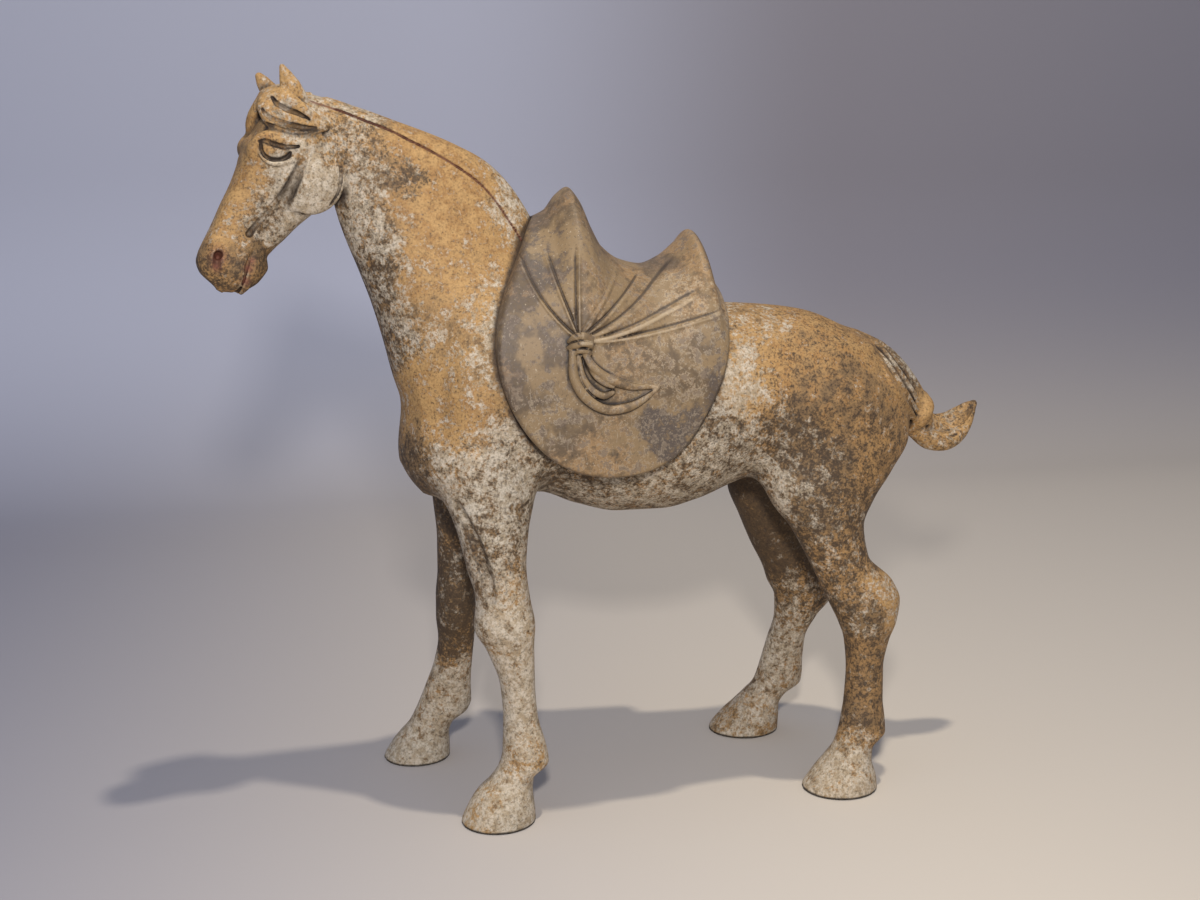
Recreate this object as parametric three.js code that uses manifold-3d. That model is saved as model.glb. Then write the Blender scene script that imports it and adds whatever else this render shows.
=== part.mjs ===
// A standing pottery horse with a saddle of its own: the horse is one fired piece, and the saddle, with
// its knotted cover modelled in the clay, is a second piece that rests on the horse's back.
//
// Frame: millimetres, +Z up. The horse faces -X and its left side is towards -Y. The origin lies on the
// ground under the middle of the whole figure's box.
import * as THREE from 'three';
import { mergeVertices } from 'three/addons/utils/BufferGeometryUtils.js';
import Module from 'manifold-3d';

const wasm = await Module();
wasm.setup();

// Driving dimensions, in millimetres.
const FIGURE_HEIGHT = 540; // from the ground to the tips of the ears
const FLAP_THICKNESS = 10; // clay of the saddle's hanging flaps
const SADDLE_CLEARANCE = 0.35; // gap between the saddle and the back that it rests on

// Every outline below is a share of the figure's height, in units of which the whole figure has 995.
const OUTLINE_HEIGHT = 995;
const SHARE = FIGURE_HEIGHT / OUTLINE_HEIGHT;
const FLAP_SHARE = FLAP_THICKNESS / SHARE;

// How finely the clay is sampled, in the same units, and how many triangles each piece keeps.
const HORSE_STEP = 5;
const SADDLE_STEP = 5;
const HORSE_TRIANGLES = 6500;
const SADDLE_TRIANGLES = 2500;

// Blending of fields: a field is negative inside the clay and close to the distance outside it.
const { abs, cos, hypot, max, min, sin, sqrt } = Math;
const clamp = (v, low, high) => min(max(v, low), high);

function smoothMin(a, b, k) {
  const h = max(k - abs(a - b), 0) / k;
  return min(a, b) - (h * h * k) / 4;
}

const smoothMax = (a, b, k) => -smoothMin(-a, -b, k);

// A smooth line through rows of [station, value, value, ...] that never overshoots them.
function outline(rows) {
  const width = rows[0].length - 1;
  const slopes = rows.map((row, i) => {
    if (i === 0 || i === rows.length - 1) return new Array(width).fill(0);
    const [before, after] = [rows[i - 1], rows[i + 1]];
    return Array.from({ length: width }, (_, c) => {
      const left = (row[c + 1] - before[c + 1]) / (row[0] - before[0]);
      const right = (after[c + 1] - row[c + 1]) / (after[0] - row[0]);
      return left * right <= 0 ? 0 : (2 * left * right) / (left + right);
    });
  });
  return (station) => {
    const s = clamp(station, rows[0][0], rows[rows.length - 1][0]);
    let i = 0;
    while (i < rows.length - 2 && s > rows[i + 1][0]) i += 1;
    const span = rows[i + 1][0] - rows[i][0];
    const t = (s - rows[i][0]) / span;
    return slopes[i].map((slope, c) => {
      const [from, to] = [rows[i][c + 1], rows[i + 1][c + 1]];
      const [m0, m1] = [slope * span, slopes[i + 1][c] * span];
      const t2 = t * t;
      const t3 = t2 * t;
      return from * (2 * t3 - 3 * t2 + 1) + m0 * (t3 - 2 * t2 + t) + to * (3 * t2 - 2 * t3) + m1 * (t3 - t2);
    });
  };
}

// A body lofted along one axis through rows of [station, low edge, high edge, middle sideways, half breadth].
// `widest` is where between its edges it is broadest, and the powers make a side rounder or squarer.
function loft(rows, { widest = 0.5, lowPower = 2, highPower = 2 } = {}) {
  const line = outline(rows);
  const [first, last] = [rows[0][0], rows[rows.length - 1][0]];
  const reach = 2;
  return (s, n, b) => {
    const [low, high, side, half] = line(s);
    const [lowNext, highNext] = line(s + reach);
    const centre = low + (high - low) * widest;
    const [dn, db] = [n - centre, b - side];
    const above = dn > 0;
    const edge = max(above ? high - centre : centre - low, 0.5);
    const power = above ? highPower : lowPower;
    const ratio = ((abs(dn) / edge) ** power + (abs(db) / max(half, 0.5)) ** power) ** (1 / power);
    const length = hypot(dn, db);
    const radial = ratio > 1e-6 ? length - length / ratio : -min(edge, half);
    const lean = ((above ? highNext - high : lowNext - low) / reach) * (length > 0 ? (dn / length) ** 2 : 0);
    return max(radial / sqrt(1 + lean * lean), first - s, s - last);
  };
}

// A roll of clay along points, each [x, y, z, radius]. `flat` below 1 presses it thinner sideways.
function roll(points, { flat = 1, steps = 5 } = {}) {
  const curve = new THREE.CatmullRomCurve3(points.map((p) => new THREE.Vector3(p[0], p[1], p[2])), false, 'centripetal');
  const count = (points.length - 1) * steps;
  const spots = Array.from({ length: count + 1 }, (_, i) => {
    const place = curve.getPoint(i / count);
    const at = (i / count) * (points.length - 1);
    const from = min(Math.floor(at), points.length - 2);
    const radius = points[from][3] + (points[from + 1][3] - points[from][3]) * (at - from);
    return [place.x, place.y, place.z, radius];
  });
  return (x, y, z) => {
    let nearest = Infinity;
    for (let i = 0; i < count; i += 1) {
      const [a, b] = [spots[i], spots[i + 1]];
      const [ux, uy, uz] = [b[0] - a[0], (b[1] - a[1]) / flat, b[2] - a[2]];
      const [px, py, pz] = [x - a[0], (y - a[1]) / flat, z - a[2]];
      const t = clamp((px * ux + py * uy + pz * uz) / (ux * ux + uy * uy + uz * uz + 1e-9), 0, 1);
      nearest = min(nearest, hypot(px - ux * t, py - uy * t, pz - uz * t) - (a[3] + (b[3] - a[3]) * t));
    }
    return nearest;
  };
}

// An ellipsoid of clay round a centre, with its half sizes along three directions.
function lump(centre, sizes, directions) {
  return (x, y, z) => {
    const [px, py, pz] = [x - centre.x, y - centre.y, z - centre.z];
    let near = 0;
    let steep = 0;
    directions.forEach((d, i) => {
      const along = (px * d.x + py * d.y + pz * d.z) / sizes[i];
      near += along * along;
      steep += (along / sizes[i]) ** 2;
    });
    return near < 1e-9 ? -min(...sizes) : (near - sqrt(near)) / sqrt(steep);
  };
}

const ALONG = new THREE.Vector3(1, 0, 0);
const ACROSS = new THREE.Vector3(0, 1, 0);
const UPRIGHT = new THREE.Vector3(0, 0, 1);
const WORLD = [ALONG, ACROSS, UPRIGHT];
const BOTH_SIDES = [-1, 1];

// The trunk: rows of [x, keel, ridge, y, half breadth], from the breast to the buttocks.
const TRUNK = loft([
  [-322, 492, 500, 0, 4],
  [-305, 452, 600, 0, 52],
  [-275, 430, 660, 0, 86],
  [-235, 424, 715, 0, 106],
  [-190, 428, 745, 0, 115],
  [-132, 431, 755, 0, 121],
  [-80, 413, 734, 0, 125],
  [-20, 399, 706, 0, 128],
  [40, 399, 692, 0, 128],
  [90, 410, 687, 0, 126],
  [145, 432, 685, 0, 120],
  [190, 446, 682, 0, 117],
  [248, 452, 674, 0, 119],
  [309, 455, 650, 0, 111],
  [355, 462, 616, 0, 88],
  [385, 475, 588, 0, 62],
  [410, 500, 560, 0, 32],
  [424, 528, 538, 0, 4],
], { widest: 0.48 });

// The neck: rows of [z, throat, crest, y, half breadth], from the breast to the poll.
const NECK = loft([
  [500, -300, -70, 0, 96],
  [564, -314, -80, 0, 98],
  [600, -325, -88, 0, 96],
  [646, -336, -96, 0, 90],
  [693, -349, -104, 0, 82],
  [739, -365, -114, 0, 72],
  [778, -380, -126, 0, 64],
  [806, -389, -140, 0, 58],
  [826, -394, -153, 0, 54],
  [846, -398, -168, 0, 50],
  [867, -403, -190, 0, 46],
  [884, -407, -214, 0, 42],
  [898, -410, -242, 0, 39],
  [908, -413, -268, 0, 36],
  [917, -417, -296, 0, 33],
  [931, -423, -344, 0, 29],
  [944, -428, -386, 0, 23],
  [954, -430, -413, 0, 14],
], { widest: 0.42, highPower: 1.8 });

// The mane is a band along the crest, a little proud of the neck: rows of [x, z] along its lower edge.
const MANE_DEPTH = 3;
const maneEdge = outline([
  [-432, 955],
  [-371, 929],
  [-334, 913],
  [-296, 895],
  [-259, 873],
  [-227, 850],
  [-194, 822],
  [-172, 796],
  [-155, 775],
  [-130, 740],
]);

function maneField(x, y, z) {
  const [edge] = maneEdge(x);
  return max(NECK(z, x, y) - MANE_DEPTH, (edge - z) * 0.8, x + 100);
}

// The legs: rows of [z, front edge, back edge, y, half breadth], from under the ground up into the body.
const LEGS = {
  leftFore: [
    [-20, -258, -157, -117, 46],
    [0, -258, -157, -116, 46],
    [20, -250, -158, -115, 44],
    [42, -236, -160, -113, 37],
    [60, -217, -158, -112, 30],
    [80, -204, -137, -110, 29],
    [96, -200, -139, -109, 28],
    [145, -198, -151, -106, 23],
    [188, -201, -154, -104, 23],
    [238, -218, -154, -100, 30],
    [270, -234, -152, -98, 36],
    [307, -231, -158, -95, 34],
    [348, -241, -162, -91, 36],
    [396, -252, -158, -86, 42],
    [447, -268, -148, -80, 46],
    [500, -278, -145, -70, 46],
    [560, -270, -160, -55, 36],
  ],
  rightFore: [
    [-20, -344, -246, 127, 45],
    [0, -344, -246, 126, 45],
    [20, -334, -246, 125, 43],
    [37, -322, -247, 123, 37],
    [56, -306, -240, 121, 30],
    [72, -298, -219, 119, 29],
    [88, -291, -213, 117, 28],
    [118, -280, -214, 112, 24],
    [154, -268, -212, 106, 24],
    [192, -262, -209, 99, 27],
    [228, -265, -207, 93, 34],
    [260, -265, -208, 89, 34],
    [300, -262, -200, 86, 33],
    [348, -262, -185, 83, 37],
    [396, -266, -168, 80, 42],
    [447, -272, -150, 76, 46],
    [500, -278, -145, 68, 46],
    [560, -270, -160, 54, 36],
  ],
  leftHind: [
    [-20, 231, 339, -116, 48],
    [0, 231, 339, -115, 48],
    [18, 243, 337, -114, 46],
    [42, 264, 331, -111, 37],
    [60, 277, 334, -110, 30],
    [80, 284, 353, -108, 29],
    [100, 289, 352, -106, 28],
    [127, 293, 349, -104, 25],
    [173, 296, 349, -101, 25],
    [213, 293, 357, -98, 30],
    [240, 284, 368, -96, 35],
    [270, 269, 373, -94, 37],
    [297, 256, 362, -92, 35],
    [335, 237, 325, -89, 36],
    [379, 213, 318, -84, 42],
    [415, 186, 334, -78, 49],
    [453, 172, 362, -70, 56],
    [500, 172, 388, -62, 60],
    [560, 180, 368, -52, 58],
    [620, 205, 335, -40, 40],
  ],
  rightHind: [
    [-20, 163, 272, 123, 47],
    [0, 163, 272, 122, 47],
    [22, 178, 272, 120, 45],
    [42, 198, 272, 118, 37],
    [60, 214, 283, 116, 30],
    [78, 230, 307, 114, 29],
    [95, 236, 308, 112, 28],
    [117, 241, 307, 109, 26],
    [152, 249, 308, 104, 26],
    [190, 258, 324, 99, 31],
    [222, 256, 345, 95, 37],
    [250, 242, 345, 92, 37],
    [272, 234, 337, 90, 36],
    [314, 212, 312, 87, 38],
    [358, 192, 308, 83, 44],
    [405, 172, 326, 78, 50],
    [453, 168, 362, 70, 56],
    [500, 172, 388, 62, 60],
    [560, 180, 368, 52, 58],
    [620, 205, 335, 40, 40],
  ],
};

// The head has a frame of its own: `down` runs from the poll to the muzzle, `out` from the jaw to the
// forehead, and `side` to the horse's left, towards which the head is turned a little.
const HEAD_TURN = THREE.MathUtils.degToRad(12);
const HEAD_PITCH = THREE.MathUtils.degToRad(58);
const POLL = new THREE.Vector3(-405, 0, 935);
const FACING = new THREE.Vector3(-cos(HEAD_TURN), -sin(HEAD_TURN), 0);
const HEAD = {
  down: FACING.clone().multiplyScalar(cos(HEAD_PITCH)).addScaledVector(UPRIGHT, -sin(HEAD_PITCH)),
  out: FACING.clone().multiplyScalar(sin(HEAD_PITCH)).addScaledVector(UPRIGHT, cos(HEAD_PITCH)),
  side: new THREE.Vector3(sin(HEAD_TURN), -cos(HEAD_TURN), 0),
};
const HEAD_AXES = [HEAD.down, HEAD.out, HEAD.side];

function headPoint(down, out, side) {
  return POLL.clone().addScaledVector(HEAD.down, down).addScaledVector(HEAD.out, out).addScaledVector(HEAD.side, side);
}

const headRoll = (points, options) => roll(points.map(([d, o, s, r]) => [...headPoint(d, o, s).toArray(), r]), options);

// The skull: rows of [distance from the poll, jaw, forehead, middle, half breadth].
const SKULL = loft([
  [-22, -12, 6, 0, 12],
  [-3, -28, 36, 0, 30],
  [20, -44, 56, 0, 41],
  [50, -50, 63, 0, 45],
  [82, -52, 64, 0, 44],
  [98, -52, 63, 0, 41],
  [110, -50, 60, 0, 38],
  [139, -40, 56, 0, 32],
  [158, -35, 55, 0, 29],
  [190, -27, 52, 0, 27],
  [206, -35, 51, 0, 28],
  [223, -33, 50, 0, 28],
  [238, -26, 47, 0, 25],
  [250, -15, 36, 0, 17],
  [259, 0, 8, 0, 5],
], { widest: 0.55, lowPower: 2.8, highPower: 3.2 });

// What is laid on the skull, once for each side.
function faceFields(side) {
  const eyeLong = new THREE.Vector3().addScaledVector(HEAD.down, -0.53).addScaledVector(HEAD.out, -0.85).normalize();
  const eyeTall = new THREE.Vector3().addScaledVector(HEAD.down, 0.85).addScaledVector(HEAD.out, -0.53).normalize();
  const eyeAxes = [eyeLong, eyeTall, HEAD.side];
  return {
    cheek: lump(headPoint(79, -17, side * 33), [47, 46, 17], HEAD_AXES),
    socket: lump(headPoint(75, 36, side * 51), [24, 15, 9], eyeAxes),
    eye: lump(headPoint(75, 37, side * 39), [18, 11, 9], eyeAxes),
    brow: headRoll([[94, 60, side * 32, 5], [84, 62, side * 37, 7], [70, 58, side * 42, 7], [62, 43, side * 46, 6.5],
      [55, 26, side * 47, 6], [47, 10, side * 46, 4]]),
    lid: headRoll([[92, 50, side * 40, 3], [92, 38, side * 43, 4], [85, 24, side * 45, 4], [70, 14, side * 46, 3]]),
    hollow: headRoll([[86, -2, side * 50, 3], [112, 3, side * 43, 7], [140, 6, side * 37, 8], [165, 10, side * 32, 5],
      [182, 13, side * 31, 2]]),
    rim: headRoll([[213, 40, side * 21, 7], [226, 30, side * 23, 9], [238, 18, side * 19, 7]]),
    nostril: headRoll([[219, 35, side * 31, 6], [231, 25, side * 31, 5]]),
    mouth: headRoll([[196, -5, side * 29, 2.5], [217, -8, side * 28, 3.5], [240, -11, side * 21, 3.5], [250, -12, side * 12, 3]]),
  };
}

// Each ear is a cone with a hollow front; the right one stands further forward.
const ears = [
  headRoll([[1, 42, 24, 13], [-6, 56, 26, 13], [-15, 68, 26, 8], [-22, 77, 25, 3.5]], { flat: 0.7 }),
  headRoll([[10, 50, -24, 13], [6, 66, -23, 11], [1, 79, -22, 7], [-4, 90, -21, 3]], { flat: 0.7 }),
];
const earHollows = [
  headRoll([[2, 62, 33, 3], [-7, 70, 33, 4], [-15, 77, 30, 2]]),
  headRoll([[12, 70, -30, 3], [6, 79, -29, 4], [0, 86, -26, 2]]),
];

// The forelock: locks that start between the ears and sweep down over the brow to each side.
const FORELOCK_LOCKS = 3;
function forelockFields(side) {
  const [low, back] = side > 0 ? [0, 0] : [14, 6];
  return Array.from({ length: FORELOCK_LOCKS }, (_, i) => {
    const t = i / (FORELOCK_LOCKS - 1);
    return headRoll([
      [2 + 14 * t, 60 + 12 * t, side * (6 + 4 * t), 8],
      [8 + (24 + low) * t, 60 - back + 13 * t, side * (26 + 2 * t), 9],
      [11 + (32 + low) * t, 44 + 14 * t, side * 38, 9],
      [12 + (27 + low) * t, 28 + 6 * t, side * 43, 7.5],
      [12 + 16 * t, 12 + 2 * t, side * 45, 5],
      [11 + 5 * t, 1 - 3 * t, side * 45, 3],
    ]);
  });
}
const forelockTop = headRoll([[-4, 54, 0, 9], [10, 66, 0, 10], [30, 70, 0, 8]]);

const breast = lump(new THREE.Vector3(-282, 0, 500), [40, 60, 64], WORLD);

// The tail: strands lie on the rump down to a knot, and below it the end turns out and up as a hollow leaf.
const tailRoot = roll([[350, 0, 616, 9], [376, 0, 601, 15], [396, 0, 584, 16], [411, 0, 564, 16], [424, 0, 538, 16],
  [434, 0, 512, 16]], { flat: 1.25 });
const tailKnot = roll([[455, 0, 545, 7], [444, -18, 530, 8], [428, -20, 514, 8], [413, 0, 500, 8], [428, 20, 514, 8],
  [444, 18, 530, 8], [455, 0, 545, 7]]);
const tailEnds = [
  roll([[430, -6, 494, 14], [448, -11, 480, 15], [474, -13, 476, 13], [495, -10, 485, 10.5], [510, -6, 503, 8], [522, 0, 526, 4]]),
  roll([[436, 2, 508, 14], [462, 2, 494, 11], [484, 2, 490, 10], [502, 2, 501, 8], [516, 1, 517, 6]]),
  roll([[440, 8, 512, 13], [464, 12, 502, 11], [484, 13, 504, 10], [500, 12, 512, 9], [514, 8, 522, 7], [523, 2, 529, 4]]),
];

// The groove that parts each forearm from the breast.
const armGrooves = BOTH_SIDES.map((side) => roll([
  [-262, side * 108, 445, 3], [-244, side * 122, 425, 5], [-233, side * 128, 398, 5], [-225, side * 128, 366, 4],
  [-218, side * 126, 334, 2],
]));

// Every part of the horse as [field, blend, box], each box [low x, low y, low z, high x, high y, high z].
const BLEND = { leg: 34, neck: 46, head: 16, face: 6, hair: 5, breast: 12, tail: 7 };
const REACH = 55;
const added = [
  { field: (x, y, z) => NECK(z, x, y), blend: BLEND.neck, box: [-440, -110, 490, -60, 110, 970] },
  { field: breast, blend: BLEND.breast, box: [-325, -62, 430, -240, 62, 570] },
  { field: maneField, blend: 2, box: [-440, -75, 740, -100, 75, 970] },
  { field: tailRoot, blend: BLEND.tail, box: [350, -30, 480, 470, 30, 640] },
];
for (const rows of Object.values(LEGS)) {
  const leg = loft(rows, { widest: 0.5 });
  const [low, high] = [new THREE.Vector2(Infinity, Infinity), new THREE.Vector2(-Infinity, -Infinity)];
  for (const [, front, back, y, half] of rows) {
    low.min(new THREE.Vector2(front, y - half));
    high.max(new THREE.Vector2(back, y + half));
  }
  added.push({ field: (x, y, z) => leg(z, x, y), blend: BLEND.leg, box: [low.x, low.y, rows[0][0], high.x, high.y, 620] });
}
const tailFields = [tailKnot, ...tailEnds];
const TAIL_BOX = [410, -35, 445, 540, 35, 560];
const faces = BOTH_SIDES.map(faceFields);
const forelocks = [forelockTop, ...BOTH_SIDES.flatMap(forelockFields)];
const HEAD_BOX = [-590, -110, 690, -360, 70, 1010];

function outside(box, x, y, z) {
  return hypot(max(box[0] - x, 0, x - box[3]), max(box[1] - y, 0, y - box[4]), max(box[2] - z, 0, z - box[5]));
}

function headField(x, y, z, body) {
  const [px, py, pz] = [x - POLL.x, y - POLL.y, z - POLL.z];
  const [s, n, b] = HEAD_AXES.map((d) => px * d.x + py * d.y + pz * d.z);
  let value = smoothMin(body, SKULL(s, n, b), BLEND.head);
  for (const f of faces) {
    value = smoothMin(value, f.cheek(x, y, z), BLEND.face);
    value = smoothMax(value, -f.hollow(x, y, z), BLEND.face);
    value = smoothMax(value, -f.socket(x, y, z), BLEND.face);
    value = smoothMin(value, f.eye(x, y, z), 2);
    value = smoothMin(value, f.brow(x, y, z), 4);
    value = smoothMin(value, f.lid(x, y, z), 3);
    value = smoothMin(value, f.rim(x, y, z), BLEND.face);
    value = smoothMax(value, -f.nostril(x, y, z), 3);
    value = smoothMax(value, -f.mouth(x, y, z), 3);
  }
  for (const ear of ears) value = smoothMin(value, ear(x, y, z), BLEND.face);
  for (const earHollow of earHollows) value = smoothMax(value, -earHollow(x, y, z), 3);
  for (const lock of forelocks) value = smoothMin(value, lock(x, y, z), 2.5);
  return value;
}

function horseField(x, y, z) {
  let value = TRUNK(x, z, y);
  for (const { field, blend, box } of added) {
    if (outside(box, x, y, z) < REACH) value = smoothMin(value, field(x, y, z), blend);
  }
  if (z < 480 && x < -180) {
    for (const groove of armGrooves) value = smoothMax(value, -groove(x, y, z), 6);
  }
  if (outside(TAIL_BOX, x, y, z) < REACH) {
    for (const field of tailFields) value = smoothMin(value, field(x, y, z), BLEND.hair);
  }
  return outside(HEAD_BOX, x, y, z) < REACH ? headField(x, y, z, value) : value;
}

// The saddle. Its flap is an outline round a centre: rows of [degrees from straight down, radius], where the
// front is at the negative angles. Over the back the outline is left open, and the seat's line ends it.
const flapRim = outline([
  [-180, 300],
  [-161, 258],
  [-154, 205],
  [-148, 189],
  [-140, 176],
  [-131, 167],
  [-124, 163],
  [-114, 159],
  [-99, 154],
  [-86, 150],
  [-72, 147],
  [-59, 146],
  [-47, 147],
  [-36, 149],
  [-16, 151],
  [0, 151],
  [19, 152],
  [30, 151],
  [47, 145],
  [59, 142],
  [72, 143],
  [86, 149],
  [99, 158],
  [112, 174],
  [119, 185],
  [125, 192],
  [132, 202],
  [138, 217],
  [142, 233],
  [150, 283],
  [180, 300],
]);

// The line of the saddle's top over the middle of the back: rows of [x, z].
const seatLine = outline([
  [-215, 800],
  [-140, 806],
  [-118, 815],
  [-101, 836],
  [-87, 845],
  [-74, 832],
  [-60, 800],
  [-42, 768],
  [-14, 748],
  [15, 742],
  [42, 752],
  [68, 773],
  [86, 787],
  [98, 780],
  [106, 750],
  [120, 738],
  [140, 730],
]);
const FLAP_FACE = 150; // from the middle of the horse to a flap's outer face
const FLAP_SHOULDER = 600; // height above which a flap curves over to the seat
const FLAP_CENTRE = [-50, 625];
const FLAP_RADIUS = 150; // about how far the rim is from the centre
const FLAP_DOME = 9; // how much nearer to the horse a flap's rim is than its middle
const CLOTH_EDGE = 7; // rounding of the saddle's rim

function flapFace(x, z) {
  const far = min(hypot(x - FLAP_CENTRE[0], min(z, FLAP_SHOULDER) - FLAP_CENTRE[1]) / FLAP_RADIUS, 1.2);
  return FLAP_FACE - FLAP_DOME * far * far;
}

// How far sideways the saddle's skin is from the middle plane, at one x and z.
function skin(x, z) {
  const [top] = seatLine(x);
  const t = clamp((z - FLAP_SHOULDER) / (top - FLAP_SHOULDER), 0, 1);
  return flapFace(x, z) * (1 - t ** 2.1) ** 0.62;
}

// The cloth is gathered into a knot on each flap. Folds run up from the knot, each through one bend, to where
// [x, z, bend x, bend z, height] says that it fades out.
const KNOT = [-99, 655];
const FOLDS = [
  [-164, 762, -144, 708, 5.5],
  [-133, 772, -121, 716, 5.5],
  [-90, 770, -95, 720, 4.5],
  [-21, 746, -57, 712, 4.5],
  [5, 726, -36, 701, 4.5],
  [76, 762, -20, 690, 6],
  [92, 726, -18, 671, 6],
  [110, 688, 0, 660, 6],
];
const FOLD_PARTS = 5;
const foldLines = FOLDS.map(([x, z, bendX, bendZ, height]) => {
  const control = [2 * bendX - (x + KNOT[0]) / 2, 2 * bendZ - (z + KNOT[1]) / 2];
  const points = Array.from({ length: FOLD_PARTS + 1 }, (_, i) => {
    const t = i / FOLD_PARTS;
    const share = [(1 - t) ** 2, 2 * t * (1 - t), t * t];
    return [share[0] * KNOT[0] + share[1] * control[0] + share[2] * x, share[0] * KNOT[1] + share[1] * control[1] + share[2] * z];
  });
  return { points, height };
});

function foldHeight(x, z) {
  let highest = 0;
  for (const { points, height } of foldLines) {
    let nearest = Infinity;
    let place = 0;
    for (let i = 0; i < FOLD_PARTS; i += 1) {
      const [[ax, az], [bx, bz]] = [points[i], points[i + 1]];
      const [ux, uz] = [bx - ax, bz - az];
      const t = clamp(((x - ax) * ux + (z - az) * uz) / (ux * ux + uz * uz), 0, 1);
      const gap = hypot(x - ax - ux * t, z - az - uz * t);
      if (gap < nearest) [nearest, place] = [gap, (i + t) / FOLD_PARTS];
    }
    const breadth = 4 + 4 * place;
    highest = max(highest, height * (1 - place ** 3) * Math.exp(-((nearest / breadth) ** 2)));
  }
  return highest;
}

// The knot itself and the two ends that hang from it in a crescent.
const knots = BOTH_SIDES.map((side) => lump(new THREE.Vector3(KNOT[0], side * 146, KNOT[1]), [15, 12, 13], WORLD));
const knotEnds = BOTH_SIDES.flatMap((side) => [
  roll([[-108, side * 146, 646, 4], [-105, side * 148, 608, 6], [-91, side * 149, 583, 7], [-66, side * 149, 570, 6],
    [-36, side * 148, 571, 5], [2, side * 147, 592, 2]]),
  roll([[-96, side * 147, 644, 4], [-89, side * 148, 628, 5], [-66, side * 149, 608, 6], [-33, side * 149, 596, 5], [2, side * 147, 593, 2]]),
  roll([[-96, side * 147, 640, 3], [-92, side * 148, 610, 4], [-80, side * 149, 594, 5], [-64, side * 149, 588, 4]]),
]);

function rimGap(x, z) {
  const [dx, dz] = [x - FLAP_CENTRE[0], z - FLAP_CENTRE[1]];
  const angle = THREE.MathUtils.radToDeg(Math.atan2(dx, -dz));
  const [rim] = flapRim(angle);
  const lean = (flapRim(angle + 1)[0] - rim) / THREE.MathUtils.degToRad(1) / rim;
  return (hypot(dx, dz) - rim) / hypot(1, lean);
}

const SEAT_ROOF = 600; // below this height the flaps hang free of the horse's side

function saddleField(x, y, z) {
  const across = abs(y);
  const [top] = seatLine(x);
  const reach = 2;
  const rise = (skin(x, z + reach) - skin(x, z)) / reach;
  const run = (skin(x + reach, z) - skin(x, z)) / reach;
  let value = (across - skin(x, z) - foldHeight(x, z)) / sqrt(1 + rise * rise + run * run);
  value = max(value, z - top - 1);
  value = smoothMax(value, rimGap(x, z), CLOTH_EDGE);
  value = smoothMax(value, min(flapFace(x, z) - FLAP_SHARE - across, SEAT_ROOF - z), 3);
  if (z > 700) return value;
  for (const knot of knots) value = smoothMin(value, knot(x, y, z), 3);
  for (const end of knotEnds) value = smoothMin(value, end(x, y, z), 2);
  return value;
}

// The corners of a grid cell, its edges as pairs of corners, and its faces as rings of corners.
const CORNERS = [[0, 0, 0], [1, 0, 0], [0, 1, 0], [1, 1, 0], [0, 0, 1], [1, 0, 1], [0, 1, 1], [1, 1, 1]];
const EDGES = [[0, 1], [2, 3], [4, 5], [6, 7], [0, 2], [1, 3], [4, 6], [5, 7], [0, 4], [1, 5], [2, 6], [3, 7]];
const FACES = [[0, 1, 3, 2], [4, 5, 7, 6], [0, 1, 5, 4], [2, 3, 7, 6], [0, 2, 6, 4], [1, 3, 7, 5]];
const edgeBetween = (a, b) => EDGES.findIndex(([m, n]) => (m === a && n === b) || (m === b && n === a));

// Which sheet of the surface crosses each edge of a cell, for every choice of corners inside the clay.
const SHEETS = Array.from({ length: 256 }, (_, inside) => {
  const isIn = (corner) => (inside >> corner) % 2 === 1;
  const sheet = EDGES.map(([a, b], edge) => (isIn(a) === isIn(b) ? -1 : edge));
  const join = (a, b) => {
    const [from, to] = [max(sheet[a], sheet[b]), min(sheet[a], sheet[b])];
    sheet.forEach((label, edge) => { if (label === from) sheet[edge] = to; });
  };
  for (const ring of FACES) {
    const sides = ring.map((corner, i) => edgeBetween(corner, ring[(i + 1) % 4]));
    const crossed = sides.filter((edge) => sheet[edge] >= 0);
    if (crossed.length === 2) join(crossed[0], crossed[1]);
  }
  const labels = [...new Set(sheet.filter((label) => label >= 0))];
  return { sheet: sheet.map((label) => labels.indexOf(label)), count: labels.length };
});

// Samples a field on a grid. Blocks of cells that the surface can't reach take the value of their middle.
const BLOCK = 4;
function sample(field, low, count, step) {
  const [nx, ny, nz] = count;
  const values = new Float32Array(nx * ny * nz);
  const far = BLOCK * step * 1.3;
  for (let k = 0; k < nz; k += BLOCK) {
    for (let j = 0; j < ny; j += BLOCK) {
      for (let i = 0; i < nx; i += BLOCK) {
        const half = ((BLOCK - 1) * step) / 2;
        const middle = field(low[0] + i * step + half, low[1] + j * step + half, low[2] + k * step + half);
        for (let c = k; c < min(k + BLOCK, nz); c += 1) {
          for (let b = j; b < min(j + BLOCK, ny); b += 1) {
            for (let a = i; a < min(i + BLOCK, nx); a += 1) {
              const here = abs(middle) > far ? middle : field(low[0] + a * step, low[1] + b * step, low[2] + c * step);
              values[(c * ny + b) * nx + a] = here || 1e-6;
            }
          }
        }
      }
    }
  }
  return values;
}

// Where two samples inside the clay meet only across the diagonal of a grid square, the nearer of the other
// two joins them, so that the surface never touches itself along an edge.
const JOIN_DEPTH = 0.5;
function joinDiagonals(values, count) {
  const strides = [1, count[0], count[0] * count[1]];
  for (let joined = true; joined;) {
    joined = false;
    for (let axis = 0; axis < 3; axis += 1) {
      const [u, w] = [strides[(axis + 1) % 3], strides[(axis + 2) % 3]];
      for (let at = 0; at + u + w < values.length; at += 1) {
        const inside = values[at] < 0;
        if (values[at + u + w] < 0 !== inside || values[at + u] < 0 === inside || values[at + w] < 0 === inside) continue;
        const [a, b] = inside ? [at + u, at + w] : [at, at + u + w];
        values[values[a] < values[b] ? a : b] = -JOIN_DEPTH;
        joined = true;
      }
    }
  }
}

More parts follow.
